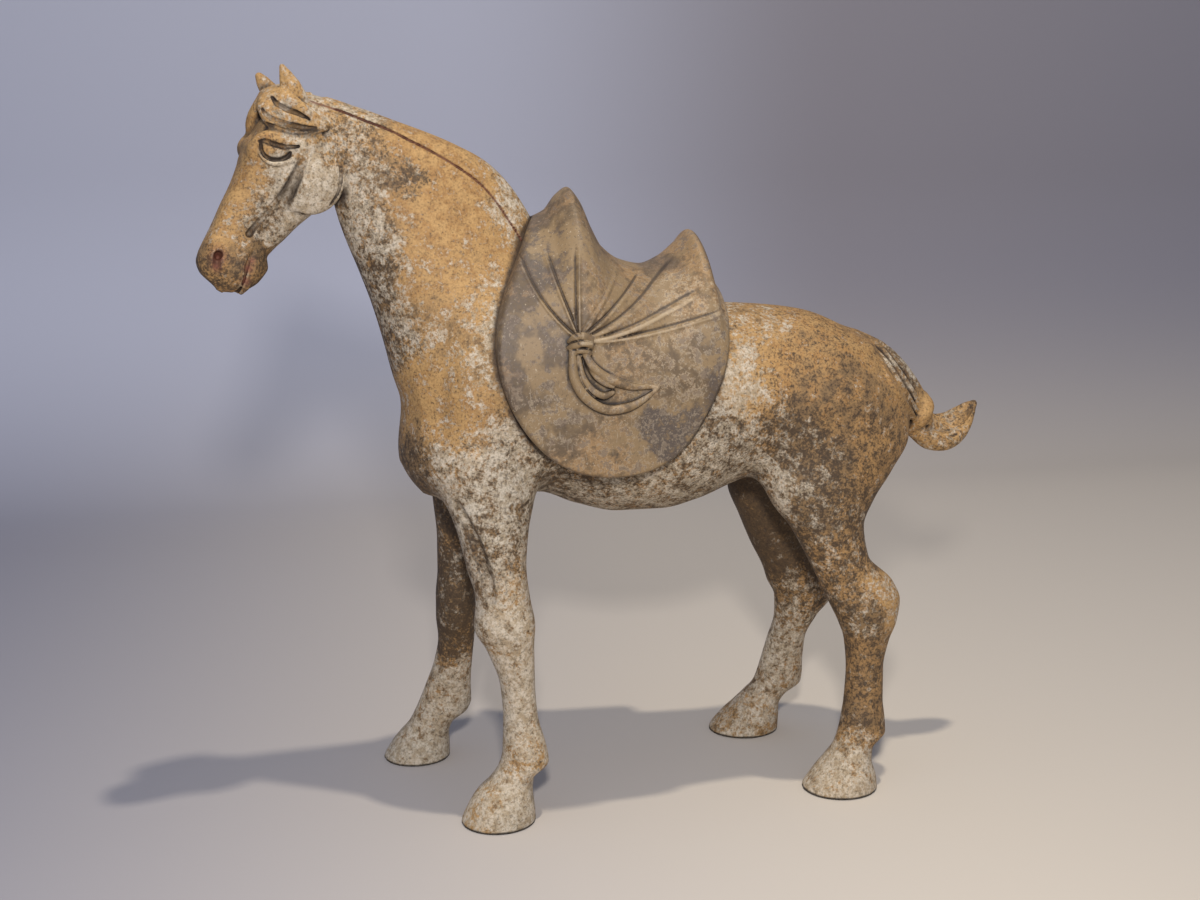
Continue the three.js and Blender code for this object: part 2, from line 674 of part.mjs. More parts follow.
// The surface between the samples: each cell has one vertex for each sheet that crosses it, and the four
// cells round a crossed grid edge are joined by two triangles.
function mesh(field, low, high, step) {
  const count = low.map((v, i) => Math.ceil((high[i] - v) / step) + 1);
  const [nx, ny, nz] = count;
  const values = sample(field, low, count, step);
  joinDiagonals(values, count);
  const strides = [1, nx, nx * ny];
  const at = (i, j, k) => (k * ny + j) * nx + i;
  const cells = new Map();
  const positions = [];
  for (let k = 0; k < nz - 1; k += 1) {
    for (let j = 0; j < ny - 1; j += 1) {
      for (let i = 0; i < nx - 1; i += 1) {
        const here = at(i, j, k);
        const v = CORNERS.map(([a, b, c]) => values[here + a * strides[0] + b * strides[1] + c * strides[2]]);
        const inside = v.reduce((bits, f, corner) => bits + (f < 0 ? 1 << corner : 0), 0);
        if (inside === 0 || inside === 255) continue;
        const { sheet, count: sheets } = SHEETS[inside];
        cells.set(here, { first: positions.length / 3, sheet });
        for (let s = 0; s < sheets; s += 1) {
          const sum = [0, 0, 0];
          let crossings = 0;
          EDGES.forEach(([m, n], edge) => {
            if (sheet[edge] !== s) return;
            const t = v[m] / (v[m] - v[n]);
            for (let c = 0; c < 3; c += 1) sum[c] += CORNERS[m][c] + t * (CORNERS[n][c] - CORNERS[m][c]);
            crossings += 1;
          });
          positions.push(...[i, j, k].map((index, c) => low[c] + (index + sum[c] / crossings) * step));
        }
      }
    }
  }
  // The four cells round a grid edge, and the corners of each cell that the edge joins.
  const rings = [0, 1, 2].map((axis) => {
    const [u, w] = [(axis + 1) % 3, (axis + 2) % 3];
    return [[1, 1], [0, 1], [0, 0], [1, 0]].map(([du, dw]) => {
      const corner = (du << u) + (dw << w);
      return { back: du * strides[u] + dw * strides[w], edge: edgeBetween(corner, corner + (1 << axis)) };
    });
  });
  const triangles = [];
  for (let k = 1; k < nz - 1; k += 1) {
    for (let j = 1; j < ny - 1; j += 1) {
      for (let i = 1; i < nx - 1; i += 1) {
        const here = at(i, j, k);
        const inside = values[here] < 0;
        rings.forEach((ring, axis) => {
          if (inside === values[here + strides[axis]] < 0) return;
          const loop = ring.map(({ back, edge }) => {
            const cell = cells.get(here - back);
            return cell.first + cell.sheet[edge];
          });
          if (!inside) loop.reverse();
          triangles.push([loop[0], loop[1], loop[2]], [loop[0], loop[2], loop[3]]);
        });
      }
    }
  }
  return { positions, triangles };
}

// Merges edges, cheapest first, until `target` triangles are left. The cost is the distance from the planes
// that met at the merged corners, so flat clay gets few large triangles and carving keeps its small ones.
// `care` says how much more that distance counts at some place.
function thin({ positions, triangles }, target, care = () => 1) {
  const corners = triangles.map((t) => [...t]);
  const alive = corners.map(() => true);
  const around = Array.from({ length: positions.length / 3 }, () => new Set());
  corners.forEach((t, index) => t.forEach((v) => around[v].add(index)));
  const place = (v) => [positions[3 * v], positions[3 * v + 1], positions[3 * v + 2]];
  const normal = ([a, b, c]) => {
    const [ux, uy, uz] = [b[0] - a[0], b[1] - a[1], b[2] - a[2]];
    const [vx, vy, vz] = [c[0] - a[0], c[1] - a[1], c[2] - a[2]];
    return [uy * vz - uz * vy, uz * vx - ux * vz, ux * vy - uy * vx];
  };
  const quadrics = Array.from({ length: around.length }, () => new Float64Array(10));
  const addPlane = (q, n, d, weight) => {
    const p = [n[0], n[1], n[2], d];
    let slot = 0;
    for (let r = 0; r < 4; r += 1) for (let c = r; c < 4; c += 1) q[slot++] += weight * p[r] * p[c];
  };
  corners.forEach((t) => {
    const points = t.map(place);
    const n = normal(points);
    const area = hypot(...n);
    if (area < 1e-12) return;
    const unit = n.map((v) => v / area);
    const d = -(unit[0] * points[0][0] + unit[1] * points[0][1] + unit[2] * points[0][2]);
    t.forEach((v) => addPlane(quadrics[v], unit, d, area * care(...points[0])));
  });
  const cost = (q, [x, y, z]) => q[0] * x * x + 2 * q[1] * x * y + 2 * q[2] * x * z + 2 * q[3] * x
    + q[4] * y * y + 2 * q[5] * y * z + 2 * q[6] * y + q[7] * z * z + 2 * q[8] * z + q[9];
  const heap = [];
  const push = (item) => {
    let i = heap.push(item) - 1;
    while (i > 0) {
      const parent = (i - 1) >> 1;
      if (heap[parent].cost <= heap[i].cost) break;
      [heap[parent], heap[i]] = [heap[i], heap[parent]];
      i = parent;
    }
  };
  const pop = () => {
    const top = heap[0];
    const tail = heap.pop();
    if (heap.length) {
      heap[0] = tail;
      let i = 0;
      for (;;) {
        const left = 2 * i + 1;
        const right = left + 1;
        let least = i;
        if (left < heap.length && heap[left].cost < heap[least].cost) least = left;
        if (right < heap.length && heap[right].cost < heap[least].cost) least = right;
        if (least === i) break;
        [heap[least], heap[i]] = [heap[i], heap[least]];
        i = least;
      }
    }
    return top;
  };
  const version = new Uint32Array(around.length);
  const offer = (a, b) => {
    const q = quadrics[a].map((v, i) => v + quadrics[b][i]);
    const [pa, pb] = [place(a), place(b)];
    const middle = pa.map((v, i) => (v + pb[i]) / 2);
    const options = [pa, pb, middle];
    const [m00, m01, m02, m03, m11, m12, m13, m22, m23] = q;
    const det = m00 * (m11 * m22 - m12 * m12) - m01 * (m01 * m22 - m12 * m02) + m02 * (m01 * m12 - m11 * m02);
    if (abs(det) > 1e-3 * (m00 + m11 + m22) ** 3) {
      options.push([
        -(m03 * (m11 * m22 - m12 * m12) - m01 * (m13 * m22 - m12 * m23) + m02 * (m13 * m12 - m11 * m23)) / det,
        -(m00 * (m13 * m22 - m23 * m12) - m03 * (m01 * m22 - m12 * m02) + m02 * (m01 * m23 - m13 * m02)) / det,
        -(m00 * (m11 * m23 - m12 * m13) - m01 * (m01 * m23 - m13 * m02) + m03 * (m01 * m12 - m11 * m02)) / det,
      ]);
    }
    const long = hypot(pa[0] - pb[0], pa[1] - pb[1], pa[2] - pb[2]);
    const best = options.map((point) => ({ point, cost: cost(q, point) })).sort((m, n) => m.cost - n.cost)[0];
    const evenness = 0.0006;
    push({ cost: max(best.cost, 0) + evenness * long ** 4, a, b, point: best.point, stamp: version[a] + version[b] });
  };
  const neighbours = (v) => {
    const found = new Set();
    for (const t of around[v]) for (const w of corners[t]) if (w !== v) found.add(w);
    return found;
  };
  for (let v = 0; v < around.length; v += 1) for (const w of neighbours(v)) if (v < w) offer(v, w);
  let left = corners.length;
  const flips = (v, other, point) => {
    for (const t of around[v]) {
      if (corners[t].includes(other)) continue;
      const before = normal(corners[t].map(place));
      const after = normal(corners[t].map((w) => (w === v ? point : place(w))));
      const dot = before[0] * after[0] + before[1] * after[1] + before[2] * after[2];
      if (dot < 0.35 * hypot(...before) * hypot(...after)) return true;
    }
    return false;
  };
  while (left > target && heap.length) {
    const { a, b, point, stamp } = pop();
    if (!around[a].size || !around[b].size || stamp !== version[a] + version[b]) continue;
    const [near, far] = [neighbours(a), neighbours(b)];
    if (!near.has(b)) continue;
    let shared = 0;
    for (const v of near) if (far.has(v)) shared += 1;
    if (shared !== 2 || flips(a, b, point) || flips(b, a, point)) continue;
    for (const t of [...around[b]]) {
      if (corners[t].includes(a)) {
        corners[t].forEach((v) => around[v].delete(t));
        alive[t] = false;
        left -= 1;
      } else {
        corners[t] = corners[t].map((v) => (v === b ? a : v));
        around[a].add(t);
      }
    }
    around[b].clear();
    point.forEach((v, i) => { positions[3 * a + i] = v; });
    quadrics[b].forEach((v, i) => { quadrics[a][i] += v; });
    version[a] += 1;
    for (const v of neighbours(a)) offer(a, v);
  }
  return { positions, triangles: corners.filter((_, index) => alive[index]) };
}

function solidFrom(geometry) {
  return new wasm.Manifold(new wasm.Mesh({
    numProp: 3,
    vertProperties: new Float32Array(geometry.attributes.position.array),
    triVerts: new Uint32Array(geometry.index.array),
  }));
}

function geometryFrom({ positions, triangles }, scale = 1) {
  const geometry = new THREE.BufferGeometry();
  geometry.setAttribute('position', new THREE.Float32BufferAttribute(positions.map((v) => v * scale), 3));
  geometry.setIndex(triangles.flat());
  return geometry;
}

function geometryOf(solid) {
  const { vertProperties, triVerts } = solid.getMesh();
  const geometry = new THREE.BufferGeometry();
  geometry.setAttribute('position', new THREE.Float32BufferAttribute(vertProperties, 3));
  geometry.setIndex([...triVerts]);
  const flat = geometry.toNonIndexed();
  flat.computeVertexNormals();
  return flat;
}

// The small carving of the head and the tail counts for more than the smooth body.
const headCare = (x, y, z) => (x < -420 && z > 690 ? 8 : x > 400 ? 4 : 1);
const horseShape = thin(mesh(horseField, [-595, -186, -27], [551, 186, 1012], HORSE_STEP), HORSE_TRIANGLES, headCare);
const ground = new THREE.BoxGeometry(1400, 600, 60).translate(0, 0, -30).scale(SHARE, SHARE, SHARE);
ground.deleteAttribute('normal');
ground.deleteAttribute('uv');
const horse = solidFrom(geometryFrom(horseShape, SHARE)).subtract(solidFrom(mergeVertices(ground)));

// The saddle is cut by the horse, made larger round the middle of the barrel by the clearance.
const BARREL_MIDDLE = 560 * SHARE;
const BARREL_HALF = 125 * SHARE;
const grow = (BARREL_HALF + SADDLE_CLEARANCE) / BARREL_HALF;
const seatCutter = geometryFrom(horseShape, SHARE).translate(0, 0, -BARREL_MIDDLE).scale(1, grow, grow).translate(0, 0, BARREL_MIDDLE);
const foldCare = (x, y, z) => (abs(y) > 100 && z > 555 && z < 760 ? 4 : 1);
const saddleShape = thin(mesh(saddleField, [-225, -185, 465], [130, 185, 862], SADDLE_STEP), SADDLE_TRIANGLES, foldCare);
const saddleParts = solidFrom(geometryFrom(saddleShape, SHARE)).subtract(solidFrom(seatCutter)).decompose();
const saddle = saddleParts.sort((a, b) => b.volume() - a.volume())[0];

const firedClay = new THREE.MeshStandardMaterial({ color: 0xb3976b, roughness: 0.9, metalness: 0 });
const greyClay = new THREE.MeshStandardMaterial({ color: 0x83725a, roughness: 0.85, metalness: 0 });

function piece(name, solid, material) {
  const made = new THREE.Mesh(geometryOf(solid), material);
  made.name = name;
  return made;
}

const figure = new THREE.Group();
figure.add(piece('horse', horse, firedClay));
figure.add(piece('saddle', saddle, greyClay));

// The origin goes under the middle of the whole figure's box.
const box = new THREE.Box3().setFromObject(figure);
const middle = box.getCenter(new THREE.Vector3());
figure.children.forEach((child) => child.position.set(-middle.x, -middle.y, 0));

export default figure;
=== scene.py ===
# %% [markdown]
# The object is a pottery horse that once stood in a tomb. The horse was pressed in moulds, luted together,
# fired, and painted cold over a white slip. On its back lies a saddle of grey clay, whose cloth cover is
# gathered into a knot on each flap.
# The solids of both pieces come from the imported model. They give the place and the size of all that follows.

import math

import bpy
import numpy as np
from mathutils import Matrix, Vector


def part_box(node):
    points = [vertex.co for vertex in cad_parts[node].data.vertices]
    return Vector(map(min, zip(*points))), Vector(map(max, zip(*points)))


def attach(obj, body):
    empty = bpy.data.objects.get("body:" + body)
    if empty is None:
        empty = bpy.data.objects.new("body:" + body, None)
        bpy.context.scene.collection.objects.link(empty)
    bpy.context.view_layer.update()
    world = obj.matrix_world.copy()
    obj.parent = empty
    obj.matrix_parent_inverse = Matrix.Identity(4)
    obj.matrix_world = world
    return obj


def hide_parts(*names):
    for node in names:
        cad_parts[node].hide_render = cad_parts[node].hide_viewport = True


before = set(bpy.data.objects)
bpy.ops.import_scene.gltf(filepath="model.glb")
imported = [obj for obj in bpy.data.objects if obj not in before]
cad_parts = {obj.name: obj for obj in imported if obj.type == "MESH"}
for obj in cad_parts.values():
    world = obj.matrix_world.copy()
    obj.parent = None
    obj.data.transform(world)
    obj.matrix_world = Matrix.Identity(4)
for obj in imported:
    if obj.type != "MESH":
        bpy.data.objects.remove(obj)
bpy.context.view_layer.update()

# %% [markdown]
# The camera comes first, because every later choice is judged through it. The photograph was taken from a
# little over the horse's back, about twice its height away, and turned a little towards its tail.

# %% Camera
CAMERA_PLACE = (-0.24322, -1.05132, 0.48464)
CAMERA_TURN = math.radians(-12.5)
CAMERA_PITCH = math.radians(90 - 11.69)
CAMERA_LENS = 43.5

lens = bpy.data.cameras.new("camera")
lens.lens = CAMERA_LENS
lens.sensor_width = 36
camera = bpy.data.objects.new("camera", lens)
camera.location = CAMERA_PLACE
camera.rotation_euler = (CAMERA_PITCH, 0, CAMERA_TURN)
bpy.context.scene.collection.objects.link(camera)
bpy.context.scene.camera = camera
print("camera at", CAMERA_PLACE)

# %% [markdown]
# Nodes make every surface. These helpers add one node at a time and join it by the names of its sockets, so
# that a material reads from top to bottom like a recipe.

# %% Helpers for materials
def new_material(name):
    made = bpy.data.materials.new(name)
    made.use_nodes = True
    made.node_tree.nodes.clear()
    return made, made.node_tree


def add(tree, kind, inputs=None, **settings):
    node = tree.nodes.new(kind)
    for key, value in settings.items():
        setattr(node, key, value)
    for key, value in (inputs or {}).items():
        if isinstance(value, bpy.types.NodeSocket):
            tree.links.new(value, node.inputs[key])
        else:
            node.inputs[key].default_value = value
    return node


def noise(tree, where, size, detail=4, rough=0.55, shift=0.0):
    moved = add(tree, "ShaderNodeVectorMath", {0: where, 1: (shift, 0.7 * shift, 1.3 * shift)}, operation="ADD")
    inputs = {"Vector": moved.outputs[0], "Scale": 1 / size, "Detail": detail, "Roughness": rough}
    return add(tree, "ShaderNodeTexNoise", inputs).outputs["Fac"]


def step(tree, value, low, high):
    inputs = {"Value": value, "From Min": low, "From Max": high}
    return add(tree, "ShaderNodeMapRange", inputs, interpolation_type="SMOOTHSTEP").outputs[0]


def maths(tree, operation, a, b=0.5, c=0.5):
    return add(tree, "ShaderNodeMath", {0: a, 1: b, 2: c}, operation=operation).outputs[0]


def blend(tree, share, a, b, kind="MIX"):
    node = add(tree, "ShaderNodeMix", data_type="RGBA", blend_type=kind)
    for socket, value in ((node.inputs[0], share), (node.inputs[6], a), (node.inputs[7], b)):
        if isinstance(value, bpy.types.NodeSocket):
            tree.links.new(value, socket)
        else:
            socket.default_value = value
    return node.outputs[2]


def colour(text):
    parts = [int(text[i : i + 2], 16) / 255 for i in (0, 2, 4)]
    linear = [p / 12.92 if p < 0.04045 else ((p + 0.055) / 1.055) ** 2.4 for p in parts]
    return (*linear, 1)


# %% [markdown]
# The horse was photographed on a sheet of pale paper that curves up behind it. One strip, swept along a
# floor, a wide bend and a wall, makes the same ground without an edge at the back.

# %% Paper
PAPER_WIDTH = 7.0
PAPER_FRONT = -1.8
PAPER_BEND = 0.95
BEND_RADIUS = 0.45
WALL_HEIGHT = 3.2
BEND_STEPS = 24

turns = [math.pi / 2 * i / BEND_STEPS for i in range(BEND_STEPS + 1)]
profile = [(PAPER_FRONT, 0.0)]
profile += [(PAPER_BEND + BEND_RADIUS * math.sin(t), BEND_RADIUS * (1 - math.cos(t))) for t in turns]
profile += [(PAPER_BEND + BEND_RADIUS, WALL_HEIGHT)]
corners = [(side * PAPER_WIDTH / 2, y, z) for y, z in profile for side in (-1, 1)]
strips = [(2 * i, 2 * i + 1, 2 * i + 3, 2 * i + 2) for i in range(len(profile) - 1)]
paper_mesh = bpy.data.meshes.new("paper")
paper_mesh.from_pydata(corners, [], strips)
paper_mesh.shade_smooth()
paper = bpy.data.objects.new("paper", paper_mesh)
bpy.context.scene.collection.objects.link(paper)

paper_material, tree = new_material("pale_paper")
place = add(tree, "ShaderNodeTexCoord").outputs["Object"]
along, back, height = add(tree, "ShaderNodeSeparateXYZ", {0: place}).outputs
# The paper's colour carries painted light and shade: the floor darkens towards the left, the wall darkens towards the
# right, and along the bend the floor's tones give way to the wall's.
floor_colour_and_painted_light = blend(tree, step(tree, along, -0.75, 0.3), colour("93919a"), colour("d3c7b6"))
wall_colour_and_painted_light = blend(tree, step(tree, along, 0.0, 0.75), colour("c4c4cf"), colour("9c969a"))
tone = blend(tree, step(tree, maths(tree, "ADD", back, height), 0.75, 1.7), floor_colour_and_painted_light, wall_colour_and_painted_light)
surface = add(tree, "ShaderNodeBsdfPrincipled", {"Base Color": tone, "Roughness": 0.9, "Specular IOR Level": 0.2})
add(tree, "ShaderNodeOutputMaterial", {"Surface": surface.outputs[0]})
paper_mesh.materials.append(paper_material)
print("paper", len(strips), "strips")

# %% [markdown]
# The shadow lies almost straight under the horse, so the main lamp hangs high and a little in front. A
# second lamp stands above the camera: it lights the near side and throws the head's soft shadow on the
# wall. The room adds a cool light.

# %% Lamps
LAMPS = [
    ("high_lamp", (0.2, -0.32, 2.6), (0.05, 0.0, 0.2), 0.08, 27, (1.0, 0.935, 0.81)),
    ("front_lamp", (-0.25, -1.12, 0.766), (0.0, 0.0, 0.3), 0.09, 11.0, (1.0, 0.98, 0.98)),
]
for name, spot, target, size, power, tint in LAMPS:
    lamp = bpy.data.lights.new(name, "AREA")
    lamp.size = size
    lamp.energy = power
    lamp.color = tint
    holder = bpy.data.objects.new(name, lamp)
    holder.location = spot
    holder.rotation_euler = (Vector(target) - Vector(spot)).to_track_quat("-Z", "Y").to_euler()
    bpy.context.scene.collection.objects.link(holder)

room = bpy.data.worlds.new("room")
room.use_nodes = True
room.node_tree.nodes["Background"].inputs["Color"].default_value = (0.6, 0.73, 1.05, 1)
room.node_tree.nodes["Background"].inputs["Strength"].default_value = 0.39
bpy.context.scene.world = room
bpy.context.scene.view_settings.view_transform = "Standard"
print("lamps", [row[0] for row in LAMPS])

# %% [markdown]
# A figure like this has no hard edges: a potter presses, rolls and smears lumps of clay into each other. A
# field copies that way of working. It is a number for each point in space, below zero inside the clay, and
# about the distance to its skin outside it. Joining two fields with a soft minimum smears two lumps
# together, and a soft maximum with a negative field carves one out of the other.

# %% Fields of clay
FIGURE_HEIGHT = 540.0
OUTLINE_HEIGHT = 995.0
SHARE = FIGURE_HEIGHT / OUTLINE_HEIGHT
ORIGIN = np.array([11.476, -2.204, 0.0])


def soft_min(a, b, k):
    h = np.maximum(k - np.abs(a - b), 0) / k
    return np.minimum(a, b) - h * h * k / 4


def soft_max(a, b, k):
    return -soft_min(-a, -b, k)


def outline(rows):
    """A smooth line through rows of station and values that never overshoots them, with its slopes."""
    table = np.array(rows, float)
    s, v = table[:, 0], table[:, 1:]
    steep = np.diff(v, axis=0) / np.diff(s)[:, None]
    left, right = steep[:-1], steep[1:]
    both = np.where(left + right == 0, 1, left + right)
    slopes = np.zeros_like(v)
    slopes[1:-1] = np.where(left * right > 0, 2 * left * right / both, 0)
    fine = np.linspace(s[0], s[-1], 900)
    i = np.clip(np.searchsorted(s, fine) - 1, 0, len(s) - 2)
    span = (s[i + 1] - s[i])[:, None]
    t = (fine - s[i])[:, None] / span
    line = v[i] * (2 * t**3 - 3 * t**2 + 1) + slopes[i] * span * (t**3 - 2 * t**2 + t)
    line += v[i + 1] * (3 * t**2 - 2 * t**3) + slopes[i + 1] * span * (t**3 - t**2)
    columns = [*line.T, *np.gradient(line, fine, axis=0).T]
    return lambda at: [np.interp(at, fine, column) for column in columns]


STEEPEST = 1.2


def loft(rows, widest=0.5, low_power=2.0, high_power=2.0):
    """A body along one axis: rows of station, low edge, high edge, middle sideways and half breadth."""
    line = outline(rows)
    first, last = rows[0][0], rows[-1][0]

    def field(s, n, b):
        low, high, side, half, low_slope, high_slope, _, _ = line(s)
        centre = low + (high - low) * widest
        dn, db = n - centre, b - side
        above = dn > 0
        edge = np.maximum(np.where(above, high - centre, centre - low), 0.5)
        power = np.where(above, high_power, low_power)
        ratio = ((np.abs(dn) / edge) ** power + (np.abs(db) / np.maximum(half, 0.5)) ** power) ** (1 / power)
        length = np.hypot(dn, db)
        radial = np.where(ratio > 1e-6, length - length / np.maximum(ratio, 1e-6), -np.minimum(edge, half))
        lean = np.clip(np.where(above, high_slope, low_slope), -STEEPEST, STEEPEST)
        lean = lean * (dn / np.maximum(length, 1e-6)) ** 2
        return np.maximum(radial / np.sqrt(1 + lean * lean), np.maximum(first - s, s - last))

    return field


def smooth_path(points, steps):
    """Points along a curve through rows of x, y, z and radius, evenly eased between them."""
    p = np.array(points, float)
    spots = []
    for i in range(len(p) - 1):
        x1, x2 = p[i], p[i + 1]
        x0 = p[i - 1] if i else 2 * x1 - x2
        x3 = p[i + 2] if i + 2 < len(p) else 2 * x2 - x1
        d0, d1, d2 = (max(np.linalg.norm(b[:3] - a[:3]) ** 0.5, 1e-4) for a, b in ((x0, x1), (x1, x2), (x2, x3)))
        out = ((x1 - x0) / d0 - (x2 - x0) / (d0 + d1) + (x2 - x1) / d1) * d1
        back = ((x2 - x1) / d1 - (x3 - x1) / (d1 + d2) + (x3 - x2) / d2) * d1
        for t in np.arange(steps) / steps:
            spot = x1 + out * t + (3 * (x2 - x1) - 2 * out - back) * t**2 + (2 * (x1 - x2) + out + back) * t**3
            spot[3] = x1[3] + (x2[3] - x1[3]) * t
            spots.append(spot)
    return np.array([*spots, p[-1]])


REACH = 55.0
NEAR = 26.0


def roll(points, flat=1.0, steps=5):
    """A roll of clay along points with radii. `flat` below 1 presses it thinner sideways."""
    spots = smooth_path(points, steps)
    scale = np.array([1, 1 / flat, 1])

    def field(x, y, z):
        nearest = np.full(x.shape, 1e3)
        for a, b in zip(spots[:-1], spots[1:]):
            ux, uy, uz = (b[:3] - a[:3]) * scale
            px, py, pz = x - a[0], (y - a[1]) / flat, z - a[2]
            t = np.clip((px * ux + py * uy + pz * uz) / (ux * ux + uy * uy + uz * uz + 1e-9), 0, 1)
            gap = np.sqrt((px - ux * t) ** 2 + (py - uy * t) ** 2 + (pz - uz * t) ** 2)
            nearest = np.minimum(nearest, gap - (a[3] + (b[3] - a[3]) * t))
        return nearest

    field.box = np.concatenate([(spots[:, :3] - spots[:, 3:]).min(0), (spots[:, :3] + spots[:, 3:]).max(0)])
    return field


def lump(centre, sizes, directions):
    """An ellipsoid of clay, with its half sizes along three directions."""
    def field(x, y, z):
        near, steep = 1e-12, 1e-12
        for size, d in zip(sizes, directions):
            along = ((x - centre[0]) * d[0] + (y - centre[1]) * d[1] + (z - centre[2]) * d[2]) / size
            near = near + along**2
            steep = steep + (along / size) ** 2
        return (near - np.sqrt(near)) / np.sqrt(steep)

    reach = np.sqrt(sum((size * np.abs(np.array(d))) ** 2 for size, d in zip(sizes, directions)))
    field.box = np.concatenate([np.array(centre) - reach, np.array(centre) + reach])
    return field


class Figure:
    """Clay that is built up step by step, each step with a box outside which it does nothing."""

    def __init__(self, start):
        self.start, self.steps = start, []

    def lay(self, field, smear, box=None, pad=NEAR):
        self.steps.append(("lay", field, smear, np.array(field.box if box is None else box, float), pad))

    def carve(self, field, smear, box=None, pad=NEAR):
        self.steps.append(("carve", field, smear, np.array(field.box if box is None else box, float), pad))

    def relief(self, depth, box, pad=4.0):
        self.steps.append(("relief", depth, 0, np.array(box, float), pad))

    def __call__(self, x, y, z):
        value = self.start(x, y, z)
        for kind, field, smear, box, pad in self.steps:
            near = (x > box[0] - pad) & (x < box[3] + pad) & (y > box[1] - pad) & (y < box[4] + pad)
            near = np.flatnonzero(near & (z > box[2] - pad) & (z < box[5] + pad))
            if not len(near):
                continue
            made, old = field(x[near], y[near], z[near]), value[near]
            if kind == "lay":
                value[near] = soft_min(old, made, smear)
            elif kind == "carve":
                value[near] = soft_max(old, -made, smear)
            else:
                value[near] = old + made
        return value


print("units", round(SHARE, 4), "mm each")

# %% [markdown]
# The trunk is a barrel, deep at the breast and drawn up at the flank. The neck rises from it in a long
# arch to the poll, and the two are smeared together without a seam. Both are lofts: a row of sections,
# each an oval that is given by its lower edge, upper edge and breadth.

# %% Trunk and neck
TRUNK = loft([
    [-272, 452, 640, 0, 48], [-258, 434, 680, 0, 84], [-235, 424, 715, 0, 106],
    [-190, 428, 745, 0, 115], [-132, 431, 755, 0, 121], [-80, 413, 734, 0, 125], [-20, 399, 706, 0, 128],
    [40, 399, 692, 0, 128], [90, 410, 687, 0, 126], [145, 432, 685, 0, 120], [190, 446, 682, 0, 117],
    [248, 452, 674, 0, 119], [309, 455, 650, 0, 111], [355, 462, 616, 0, 88], [385, 475, 588, 0, 62],
    [410, 500, 560, 0, 32], [424, 528, 538, 0, 4],
], widest=0.48)
NECK = loft([
    [500, -300, -70, 0, 96], [564, -314, -80, 0, 98], [600, -325, -88, 0, 96], [646, -336, -96, 0, 90],
    [693, -349, -104, 0, 82], [739, -365, -114, 0, 72], [778, -380, -126, 0, 64], [806, -389, -140, 0, 58],
    [826, -394, -152, 0, 54], [846, -398, -166, 0, 50], [867, -403, -186, 0, 46], [884, -407, -208, 0, 42],
    [898, -410, -235, 0, 39], [908, -413, -257, 0, 36], [917, -417, -280, 0, 33], [931, -423, -319, 0, 29],
    [944, -428, -355, 0, 24], [955, -430, -392, 0, 17], [962, -432, -420, 0, 5],
], widest=0.42, high_power=1.8)

WORLD = [(1, 0, 0), (0, 1, 0), (0, 0, 1)]
horse = Figure(lambda x, y, z: TRUNK(x, z, y))
horse.lay(lambda x, y, z: NECK(z, x, y), 46, [-440, -110, 490, -60, 110, 970], REACH)
horse.lay(lump((-258, 0, 498), (59, 88, 68), WORLD), 34, pad=REACH)

# %% [markdown]
# The mane is cut short. It is a smooth band along the crest, a hair proud of the neck, and a thin line was
# scratched along its lower edge and filled with dark red.

# %% Mane
MANE_DEPTH = 3.0
MANE_LINE_DEPTH = 2.2
MANE_LINE_BREADTH = 1.9
MANE_BOX = [-440, -75, 740, -100, 75, 970]
mane_edge = outline([
    [-432, 956], [-414, 951], [-382, 941], [-354, 930], [-325, 919], [-297, 905], [-275, 894], [-250, 880],
    [-224, 863], [-202, 845], [-184, 823], [-169, 800], [-156, 780], [-130, 738],
])


def mane_gap(x, z):
    edge, slope = mane_edge(x)
    return (z - edge) / np.sqrt(1 + slope**2)


def mane_band(x, y, z):
    return np.maximum(np.maximum(NECK(z, x, y) - MANE_DEPTH, -mane_gap(x, z)), x + 100)


def mane_line(x, y, z):
    along = np.clip((x + 418) / 12, 0, 1) * (np.abs(y) > 6)
    return MANE_LINE_DEPTH * along * np.exp(-((mane_gap(x, z) / MANE_LINE_BREADTH) ** 2))


horse.lay(mane_band, 2, MANE_BOX, REACH)
horse.relief(mane_line, MANE_BOX)

# %% [markdown]
# The four legs stand a little apart, each with its own pose, and widen at the foot into a plain hoof. Each
# is a loft that runs upwards from under the ground into the body, and a shallow groove parts the forearm
# from the breast.

